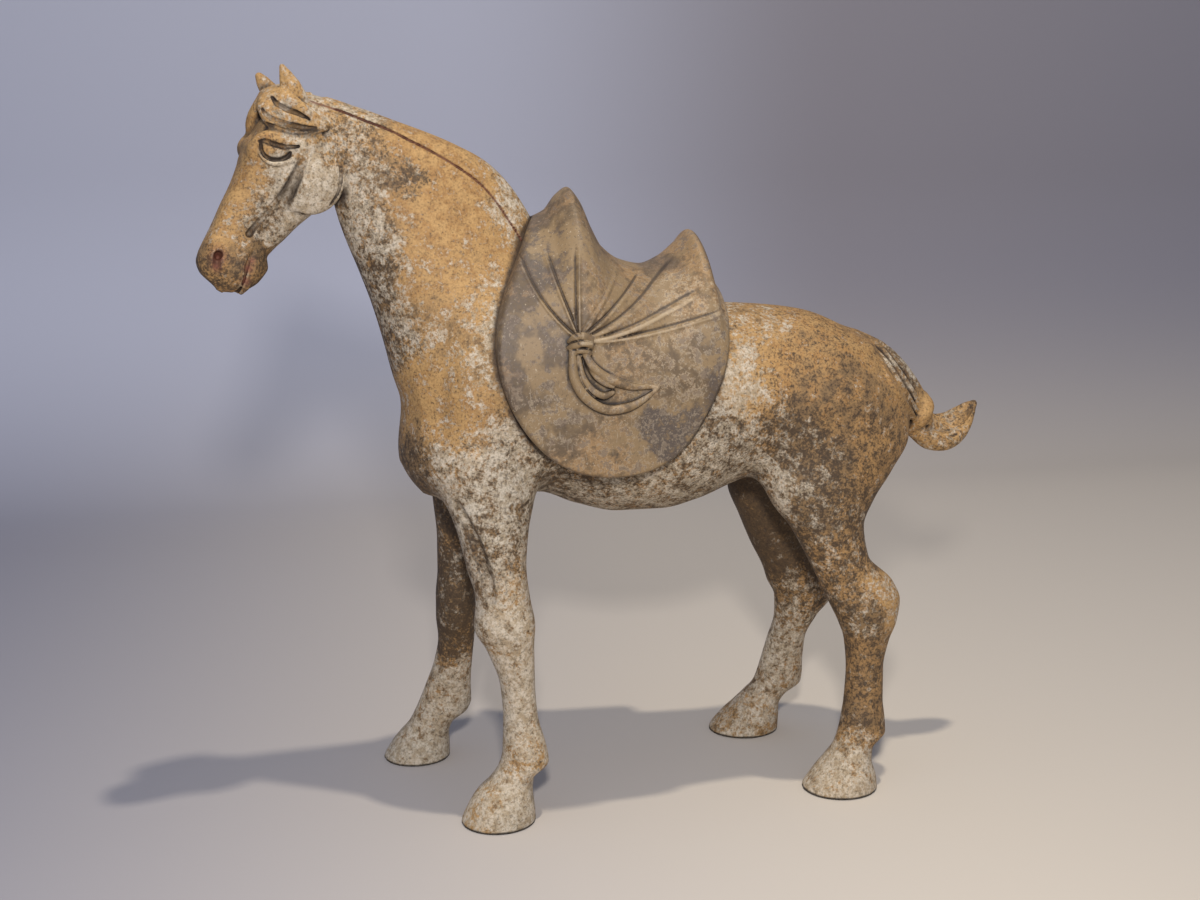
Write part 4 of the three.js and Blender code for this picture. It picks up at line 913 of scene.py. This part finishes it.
def spaced(bands):
    """Grid lines with their own spacing in each band: rows of start and spacing, ended by the last line."""
    coarse = 1.0
    parts = []
    for (start, gap), (end, _) in zip(bands[:-1], bands[1:]):
        parts.append(np.linspace(start, end, max(2, round((end - start) / (gap * coarse)) + 1))[:-1])
    return np.concatenate([*parts, [bands[-1][0]]])


# %% [markdown]
# The grid is fine where the carving is: closest at the head, close at the tail and on the saddle's flaps,
# and wider on the smooth body. A Decimate modifier then merges the points that flat clay doesn't need,
# and the ground cuts the hooves flat.

# %% Make the two pieces
HORSE_LIMIT = 190000
SADDLE_LIMIT = 190000


def soles_flat(field):
    return lambda x, y, z: np.maximum(field(x, y, z), -z)


def make_piece(name, field, axes, limit):
    points, quads = skin_mesh(field, axes)
    mesh = bpy.data.meshes.new(name)
    mesh.vertices.add(len(points))
    mesh.loops.add(quads.size)
    mesh.polygons.add(len(quads))
    mesh.vertices.foreach_set("co", ((points * SHARE + ORIGIN) / 1000).ravel())
    mesh.loops.foreach_set("vertex_index", quads.ravel().astype(np.int32))
    mesh.polygons.foreach_set("loop_start", np.arange(0, quads.size, 4, dtype=np.int32))
    mesh.update(calc_edges=True)
    made = bpy.data.objects.new(name, mesh)
    bpy.context.scene.collection.objects.link(made)
    if 2 * len(quads) > limit:
        thin = made.modifiers.new("thin", "DECIMATE")
        thin.ratio = limit / (2 * len(quads))
        thinned = bpy.data.meshes.new_from_object(made.evaluated_get(bpy.context.evaluated_depsgraph_get()))
        made.modifiers.clear()
        made.data = thinned
        thinned.name = name
    made.data.shade_smooth()
    made.data.calc_loop_triangles()
    print(name, len(quads), "squares, then", len(made.data.loop_triangles), "triangles")
    return made


horse_axes = [
    spaced([(-595, 1.3), (-375, 2.6), (325, 1.7), (551, 0)]),
    spaced([(-186, 2.6), (-72, 1.5), (50, 2.6), (186, 0)]),
    spaced([(-9, 2.6), (490, 2.0), (690, 1.5), (1012, 0)]),
]
saddle_axes = [
    spaced([(-222, 1.4), (130, 0)]),
    spaced([(-182, 1.3), (-122, 2.2), (122, 1.3), (182, 0)]),
    spaced([(466, 1.9), (550, 1.4), (862, 0)]),
]


horse_skin = make_piece("horse_skin", soles_flat(horse), horse_axes, HORSE_LIMIT)
saddle_skin = make_piece("saddle_skin", saddle_on_horse, saddle_axes, SADDLE_LIMIT)

# %% [markdown]
# Dirt stays in hollows and paint wears off ridges, so the skin is measured for both; the hollows are
# also darkened as painted shade. A point a short way out from a flat skin is that same distance from the
# clay. In a hollow it is nearer, because clay rises beside it, and below a ridge the clay is thinner. The
# fields answer both at once.

# %% Hollows and ridges
def skin_points(mesh):
    co, normal = np.empty(len(mesh.vertices) * 3), np.empty(len(mesh.vertices) * 3)
    mesh.vertices.foreach_get("co", co)
    mesh.vertices.foreach_get("normal", normal)
    return (co.reshape(-1, 3) * 1000 - ORIGIN) / SHARE, normal.reshape(-1, 3)


def hollows(field, points, normals, reach):
    return np.clip(1 - field(*(points + normals * reach).T) / reach, 0, 1)


def ridges(field, points, normals, reach):
    return np.clip(1 + field(*(points - normals * reach).T) / reach, 0, 1)


def write_numbers(mesh, name, values):
    mesh.attributes.new(name, "FLOAT", "POINT").data.foreach_set("value", np.asarray(values, np.float32))


# The saddle counts as clay for the wider hollows, so the horse is darkened under the saddle's rim: a painted shadow.
def both(x, y, z):
    return np.minimum(horse(x, y, z), saddle(x, y, z))


REACHES = {"fine_hollow": 2.5, "near_hollow": 6.0, "broad_hollow": 15.0}
for piece, field in ((horse_skin, horse), (saddle_skin, saddle)):
    points, normals = skin_points(piece.data)
    worn = ridges(field, points, normals, 3.0)
    write_numbers(piece.data, "ridge", worn)
    found = {name: hollows(field if reach < 5 else both, points, normals, reach) for name, reach in REACHES.items()}
    for name, values in found.items():
        write_numbers(piece.data, name, values)
    print(piece.name, "ridge", round(float(worn.mean()), 3), {n: round(float(v.mean()), 3) for n, v in found.items()})

# %% [markdown]
# The paint lives differently from place to place: ochre has lasted on the neck and the head, white slip
# shows on the throat, the cheek and the lower legs, and the belly and thighs are dark with pale specks.
# Each row below names such a place, and every point of the skin takes a mean of the rows near it. At the
# throat and the front of the neck the rows also add dark as painted shade.

# %% Where each finish has lasted, with painted shade at the neck
AREAS = [
    # x, y, z, reach, ochre, pale, dark
    (-508, -30, 893, 35, 0.75, 0.10, 0.15), (-543, -25, 813, 35, 0.80, 0.25, 0.10), (-467, -45, 862, 22, 0.35, 0.85, 0.15),
    (-418, -50, 856, 28, 0.35, 0.85, 0.25), (-540, -25, 754, 30, 0.42, 0.05, 0.55), (-451, -30, 936, 30, 0.80, 0.38, 0.04),
    # The throat row at x -366 and the neck-front rows at x -335 to -355 carry extra dark: painted shade where these
    # faces turn down and away from the light.
    (-428, -25, 954, 14, 0.40, 0.65, 0.30), (-480, -35, 805, 20, 0.45, 0.45, 0.45), (-366, -35, 893, 30, 0.45, 0.50, 0.45),
    (-269, -15, 912, 35, 0.95, 0.10, 0.05), (-175, -20, 835, 25, 0.55, 0.60, 0.15), (-298, -40, 862, 18, 0.60, 0.20, 0.60),
    (-248, -45, 830, 45, 0.98, 0.12, 0.02), (-278, -60, 742, 38, 0.92, 0.25, 0.04), (-355, -45, 780, 30, 0.25, 0.60, 0.50),
    (-335, -60, 660, 32, 0.30, 0.45, 0.60), (-350, -35, 720, 28, 0.20, 0.42, 0.65), (-465, -60, 891, 14, 0.80, 0.08, 0.45), (-263, -85, 667, 35, 0.85, 0.35, 0.08), (-207, -95, 655, 32, 0.75, 0.50, 0.12),
    (-284, -85, 577, 40, 0.90, 0.25, 0.12), (-311, -40, 497, 30, 0.45, 0.20, 0.50), (-250, -108, 480, 30, 0.35, 0.62, 0.32),
    (-179, -115, 473, 28, 0.25, 0.70, 0.40), (-205, -110, 386, 32, 0.30, 0.52, 0.45), (-194, -110, 282, 30, 0.55, 0.70, 0.15),
    (-182, -110, 168, 35, 0.35, 0.85, 0.12), (-167, -115, 85, 22, 0.50, 0.60, 0.20), (-240, -130, 30, 25, 0.85, 0.65, 0.02),
    (-190, -130, 25, 25, 0.45, 0.95, 0.02), (-245, 85, 253, 60, 0.25, 0.16, 0.75), (-261, 105, 108, 35, 0.35, 0.70, 0.20),
    (-292, 115, 22, 40, 0.40, 0.80, 0.10), (-119, -110, 455, 40, 0.20, 0.50, 0.65), (-5, -90, 424, 50, 0.25, 0.55, 0.50),
    (116, -105, 470, 40, 0.20, 0.55, 0.60), (120, -118, 602, 28, 0.70, 0.60, 0.10), (166, -90, 667, 28, 0.80, 0.38, 0.10),
    (238, -110, 603, 45, 0.58, 0.04, 0.36), (338, -80, 588, 35, 0.62, 0.10, 0.24), (217, -118, 496, 35, 0.22, 0.26, 0.60),
    (326, -95, 487, 40, 0.35, 0.10, 0.40), (184, -115, 427, 30, 0.15, 0.55, 0.45), (270, -105, 356, 38, 0.20, 0.25, 0.50),
    (356, -98, 266, 30, 1.00, 0.40, 0.00), (310, -115, 244, 18, 0.25, 0.30, 0.50), (325, -110, 160, 45, 0.02, 0.10, 0.42),
    (318, -115, 62, 22, 0.50, 0.35, 0.40), (276, -130, 18, 32, 0.50, 0.80, 0.08), (220, 60, 353, 70, 0.05, 0.05, 1.00),
    (274, 85, 235, 30, 0.15, 0.35, 0.50), (256, 95, 136, 40, 0.30, 0.62, 0.28), (217, 115, 17, 35, 0.60, 0.55, 0.20),
    (385, -30, 585, 26, 0.35, 0.55, 0.30), (432, -10, 532, 14, 0.95, 0.20, 0.10), (479, -10, 490, 28, 0.55, 0.35, 0.35),
]
FACE_MARKS = [((222, 31), 9.0), ((234, 27), 6.0), ((216, -9), 5.5), ((232, -14), 5.5), ((206, -8), 4.0)]

def ragged(x, y, z):
    """Places moved a little to and fro, so that no area ends in an even curve."""
    moved_x = x + 9 * np.sin(z / 17 + y / 29) + 5 * np.sin(z / 7.3 + x / 11)
    moved_z = z + 9 * np.sin(x / 19 + y / 23) + 5 * np.sin(x / 8.1 + z / 13)
    return moved_x, moved_z


points, normals = skin_points(horse_skin.data)
x, y, z = points.T
moved_x, moved_z = ragged(x, y, z)
side_y = np.where(z > 430, -np.abs(y), y)
total, sums = np.zeros(x.shape), [np.zeros(x.shape) for _ in range(3)]
for ax, ay, az, reach, *shares in AREAS:
    away = ((moved_x - ax) ** 2 + 0.5 * (side_y - ay) ** 2 + (moved_z - az) ** 2) / reach**2
    near = 1 / (0.3 + away) ** 2.6
    total += near
    for sum_of, share in zip(sums, shares):
        sum_of += near * share
for name, sum_of in zip(("ochre", "pale", "dark"), sums):
    write_numbers(horse_skin.data, name, sum_of / total)

write_numbers(horse_skin.data, "mane_gap", mane_gap(x, z))
write_numbers(horse_skin.data, "mane_here", np.clip((x + 425) / 8, 0, 1) * np.clip((np.abs(y) - 2) / 4, 0, 1) * (z > 700))
down, out, _ = head_frame(x, y, z)
smeared = np.zeros(x.shape)
for (at_down, at_out), size in FACE_MARKS:
    spot = np.exp(-(((down - at_down) ** 2 + (out - at_out) ** 2) / size**2))
    smeared = np.maximum(smeared, np.where(down > 180, spot, 0))
write_numbers(horse_skin.data, "red", smeared)

SADDLE_AREAS = [
    # x, z, reach, ochre, pale, grey
    (-85, 800, 35, 0.30, 0.12, 0.15), (-125, 768, 34, 0.15, 0.10, 0.50), (85, 765, 26, 0.70, 0.25, 0.15), (30, 752, 26, 0.25, 0.12, 0.40), (60, 700, 35, 0.55, 0.45, 0.20),
    (-150, 640, 50, 0.12, 0.15, 0.32), (-40, 720, 40, 0.45, 0.25, 0.05), (34, 606, 34, 0.25, 0.40, 0.02),
    (30, 536, 36, 0.05, 0.30, 0.95), (-60, 500, 45, 0.50, 0.30, 0.15), (-130, 560, 45, 0.20, 0.35, 0.40),
    (-50, 615, 40, 0.40, 0.32, 0.05), (95, 590, 32, 0.05, 0.20, 0.55), (85, 655, 26, 0.20, 0.35, 0.50),
]
points, normals = skin_points(saddle_skin.data)
x, y, z = points.T
write_numbers(saddle_skin.data, "fold", fold_height(x, z))
total, sums = np.zeros(x.shape), [np.zeros(x.shape) for _ in range(3)]
moved_x, moved_z = ragged(x, y, z)
for ax, az, reach, *shares in SADDLE_AREAS:
    near = 1 / (0.3 + ((moved_x - ax) ** 2 + (moved_z - az) ** 2) / reach**2) ** 2.6
    total += near
    for sum_of, share in zip(sums, shares):
        sum_of += near * share
for name, sum_of in zip(("ochre", "pale", "grey"), sums):
    write_numbers(saddle_skin.data, name, sum_of / total)
print("areas", len(AREAS), "on the horse,", len(SADDLE_AREAS), "on the saddle")

# %% [markdown]
# Painted clay: over a brown body lies a white slip, and over that an ochre paint. Both have flaked into
# grains no larger than a lentil, and dark earth sits between them. Ragged noise decides which layer shows,
# and the shares written above push it up or down, so that one recipe gives every place its own mixture.

# %% Painted clay
painted, tree = new_material("painted_clay")
place = add(tree, "ShaderNodeTexCoord").outputs["Object"]
NAMES = ("ochre", "pale", "dark", "red", "mane_gap", "mane_here", "fine_hollow", "near_hollow", "broad_hollow", "ridge")
share = {n: add(tree, "ShaderNodeAttribute", attribute_name=n).outputs["Fac"] for n in NAMES}


def covered(tree, amount, grains, push=0.22, soft=0.045):
    """1 where a layer is left: the grains noise, pushed up by the amount of it that the place keeps."""
    level = maths(tree, "MULTIPLY_ADD", maths(tree, "SUBTRACT", amount, 0.5), push, grains)
    return step(tree, level, 0.5 - soft, 0.5 + soft)


def mixed(tree, a, b, weight):
    return maths(tree, "MULTIPLY_ADD", a, weight, maths(tree, "MULTIPLY", b, 1 - weight))


broad = noise(tree, place, 0.05, 3, 0.55)
middle = noise(tree, place, 0.010, 6, 0.7, 3.1)
grain = noise(tree, place, 0.003, 4, 0.7, 7.7)
other = noise(tree, place, 0.0058, 6, 0.74, 14.9)
dust = noise(tree, place, 0.0018, 3, 0.72, 11.3)

clay = blend(tree, step(tree, broad, 0.4, 0.6), colour("866a47"), colour("a17c4e"))
clay = blend(tree, step(tree, other, 0.42, 0.62), clay, colour("6c543a"))
paint = blend(tree, step(tree, middle, 0.4, 0.6), colour("c59b62"), colour("a87c47"))
painted_at = covered(tree, share["ochre"], mixed(tree, broad, middle, 0.4), 0.3, 0.08)
coat = blend(tree, maths(tree, "MULTIPLY", painted_at, 0.82), clay, paint)

earth = blend(tree, dust, colour("33281f"), colour("54432f"))
dark_at = covered(tree, share["dark"], mixed(tree, other, dust, 0.55), 0.28, 0.06)
coat = blend(tree, maths(tree, "MULTIPLY", dark_at, 0.74), coat, earth)

slip = blend(tree, step(tree, other, 0.4, 0.62), colour("d5c8b2"), colour("b09d80"))
pale_at = covered(tree, share["pale"], mixed(tree, middle, grain, 0.55), 0.24, 0.055)
coat = blend(tree, maths(tree, "MULTIPLY", pale_at, 0.82), coat, slip)

fine_pits = step(tree, maths(tree, "MULTIPLY_ADD", share["dark"], 0.1, dust), 0.56, 0.66)
coat = blend(tree, maths(tree, "MULTIPLY", fine_pits, 0.38), coat, colour("46372b"))
deep_pits = step(tree, maths(tree, "MULTIPLY_ADD", share["dark"], 0.08, grain), 0.63, 0.7)
coat = blend(tree, maths(tree, "MULTIPLY", deep_pits, 0.55), coat, colour("3a2c22"))

worn = step(tree, maths(tree, "MULTIPLY_ADD", middle, 0.5, share["ridge"]), 0.5, 1.0)
coat = blend(tree, maths(tree, "MULTIPLY", worn, 0.3), coat, colour("c7b594"))
# Darker in broad, near and fine hollows: partly dirt, partly painted shade, and a painted shadow under the saddle's
# rim.
grime_and_shade = step(tree, maths(tree, "MULTIPLY_ADD", other, 0.5, share["broad_hollow"]), 0.55, 1.15)
coat = blend(tree, maths(tree, "MULTIPLY", grime_and_shade, 0.7), coat, colour("3a2c21"))
groove = step(tree, maths(tree, "MULTIPLY_ADD", grain, 0.7, share["near_hollow"]), 0.6, 1.15)
coat = blend(tree, maths(tree, "MULTIPLY", groove, 0.7), coat, colour("3a2a1e"))
line = step(tree, maths(tree, "MULTIPLY_ADD", grain, 0.4, share["fine_hollow"]), 0.34, 0.8)
coat = blend(tree, maths(tree, "MULTIPLY", line, 0.9), coat, colour("2a1d15"))

mane_line_at = maths(tree, "SUBTRACT", 1, step(tree, maths(tree, "ABSOLUTE", share["mane_gap"]), 0.7, 1.9))
mane_line_at = maths(tree, "MULTIPLY", mane_line_at, share["mane_here"])
coat = blend(tree, maths(tree, "MULTIPLY", mane_line_at, 0.75), coat, colour("6b3c2b"))
coat = blend(tree, maths(tree, "MULTIPLY", share["red"], 0.6), coat, colour("8f5140"))
above_ground = add(tree, "ShaderNodeSeparateXYZ", {0: place}).outputs[2]
sole = maths(tree, "SUBTRACT", 1, step(tree, maths(tree, "MULTIPLY_ADD", middle, -0.002, above_ground), 0.0004, 0.0016))
coat = blend(tree, maths(tree, "MULTIPLY", sole, 0.85), coat, colour("1f1813"))

sand = blend(tree, step(tree, dust, 0.32, 0.68), colour("ffffff"), colour("dcdcda"))
coat = blend(tree, 1.0, coat, sand, "MULTIPLY")

height = mixed(tree, pale_at, mixed(tree, grain, middle, 0.5), 0.3)
raised = add(tree, "ShaderNodeBump", {"Height": height, "Strength": 0.5, "Distance": 0.0008})
rough = maths(tree, "MULTIPLY_ADD", pale_at, 0.16, 0.7)
surface = add(tree, "ShaderNodeBsdfPrincipled", {
    "Base Color": coat, "Roughness": rough, "Specular IOR Level": 0.35, "Normal": raised.outputs[0],
})
add(tree, "ShaderNodeOutputMaterial", {"Surface": surface.outputs[0]})
horse_skin.data.materials.append(painted)

# %% [markdown]
# Grey clay: the saddle was left unpainted and rubbed smooth, so it is calmer than the horse and takes a
# soft shine. Cloudy stains, pale ridges, dark creases and fine pale scratches are all it shows. The pale
# of the ridges and fold crests is partly rubbed wear and partly a painted highlight, the dark of the
# creases is painted shade, and that of the hollows is partly dirt and partly painted shade. The scratches
# are the thin lines of a noise that is stretched along one direction.

# %% Grey clay
grey, tree = new_material("grey_clay")
place = add(tree, "ShaderNodeTexCoord").outputs["Object"]
NAMES = ("ochre", "pale", "grey", "fold", "fine_hollow", "near_hollow", "broad_hollow", "ridge")
share = {n: add(tree, "ShaderNodeAttribute", attribute_name=n).outputs["Fac"] for n in NAMES}
broad = noise(tree, place, 0.03, 4, 0.6, 2.2)
middle = noise(tree, place, 0.008, 6, 0.72, 5.5)
grain = noise(tree, place, 0.0026, 4, 0.72, 9.9)
stretched = add(tree, "ShaderNodeMapping", {"Vector": place, "Rotation": (0, 0.5, 0), "Scale": (1, 1, 0.12)}).outputs[0]
scratch = noise(tree, stretched, 0.0014, 2, 0.5, 4.4)

coat = blend(tree, step(tree, broad, 0.43, 0.57), colour("8b7352"), colour("66543e"))
coat = blend(tree, covered(tree, share["grey"], mixed(tree, broad, middle, 0.4), 0.24, 0.05), coat, colour("594d43"))
coat = blend(tree, covered(tree, share["ochre"], mixed(tree, broad, middle, 0.4), 0.28, 0.07), coat, colour("9c7c54"))
flakes = covered(tree, share["pale"], mixed(tree, middle, grain, 0.6), 0.2, 0.04)
coat = blend(tree, maths(tree, "MULTIPLY", flakes, 0.65), coat, colour("bba789"))
stains = step(tree, middle, 0.53, 0.6)
coat = blend(tree, maths(tree, "MULTIPLY", stains, 0.6), coat, colour("55453a"))
pits = step(tree, grain, 0.56, 0.66)
coat = blend(tree, maths(tree, "MULTIPLY", pits, 0.55), coat, colour("46392c"))
chips = maths(tree, "SUBTRACT", 1, step(tree, grain, 0.3, 0.38))
coat = blend(tree, maths(tree, "MULTIPLY", chips, 0.55), coat, colour("cdbb9f"))
lines = maths(tree, "MULTIPLY", step(tree, scratch, 0.66, 0.72), 0.35)
coat = blend(tree, lines, coat, colour("b9a88f"))
# Lighter on ridges and fold crests: partly rubbed wear, partly a painted highlight.
worn = step(tree, maths(tree, "MULTIPLY_ADD", middle, 0.4, share["ridge"]), 0.42, 0.85)
coat = blend(tree, maths(tree, "MULTIPLY", worn, 0.6), coat, colour("bfa582"))
rubbed_and_highlit = maths(tree, "MULTIPLY_ADD", middle, 1.5, share["fold"])
coat = blend(tree, maths(tree, "MULTIPLY", step(tree, rubbed_and_highlit, 2.2, 4.0), 0.42), coat, colour("c3ad8c"))
# Darker in the creases beside the folds: painted shade.
pressed = maths(tree, "MULTIPLY_ADD", middle, 1.2, maths(tree, "MULTIPLY", share["fold"], -1))
coat = blend(tree, maths(tree, "MULTIPLY", step(tree, pressed, 1.3, 2.8), 0.75), coat, colour("33281f"))
# Darker in hollows: partly dirt, partly painted shade.
grime_and_shade = step(tree, maths(tree, "MULTIPLY_ADD", middle, 0.3, share["broad_hollow"]), 0.42, 1.0)
coat = blend(tree, maths(tree, "MULTIPLY", grime_and_shade, 0.5), coat, colour("3f3328"))
groove = step(tree, maths(tree, "MULTIPLY_ADD", grain, 0.2, share["near_hollow"]), 0.36, 0.8)
coat = blend(tree, maths(tree, "MULTIPLY", groove, 0.6), coat, colour("3a2e23"))
line = step(tree, share["fine_hollow"], 0.12, 0.5)
coat = blend(tree, maths(tree, "MULTIPLY", line, 0.85), coat, colour("2b2119"))

raised = add(tree, "ShaderNodeBump", {"Height": mixed(tree, middle, grain, 0.5), "Strength": 0.35, "Distance": 0.0006})
surface = add(tree, "ShaderNodeBsdfPrincipled", {
    "Base Color": coat, "Roughness": 0.56, "Specular IOR Level": 0.4, "Normal": raised.outputs[0],
})
add(tree, "ShaderNodeOutputMaterial", {"Surface": surface.outputs[0]})
saddle_skin.data.materials.append(grey)
print("materials", [m.name for m in (painted, grey)])

# %% [markdown]
# Each finished piece stands in for the solid that it was worked from: the solid is hidden, the piece hangs
# from the root, and the boxes of both are printed.

# %% Hang the pieces from the root
for piece, node, finish in ((horse_skin, "horse", "painted_clay"), (saddle_skin, "saddle", "grey_clay")):
    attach(piece, "root")
    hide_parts(node)
    low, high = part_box(node)
    co = np.array([v.co for v in piece.data.vertices])
    print(node, "solid", [round(c, 4) for c in (*low, *high)], "piece", [round(float(c), 4) for c in (*co.min(0), *co.max(0))])
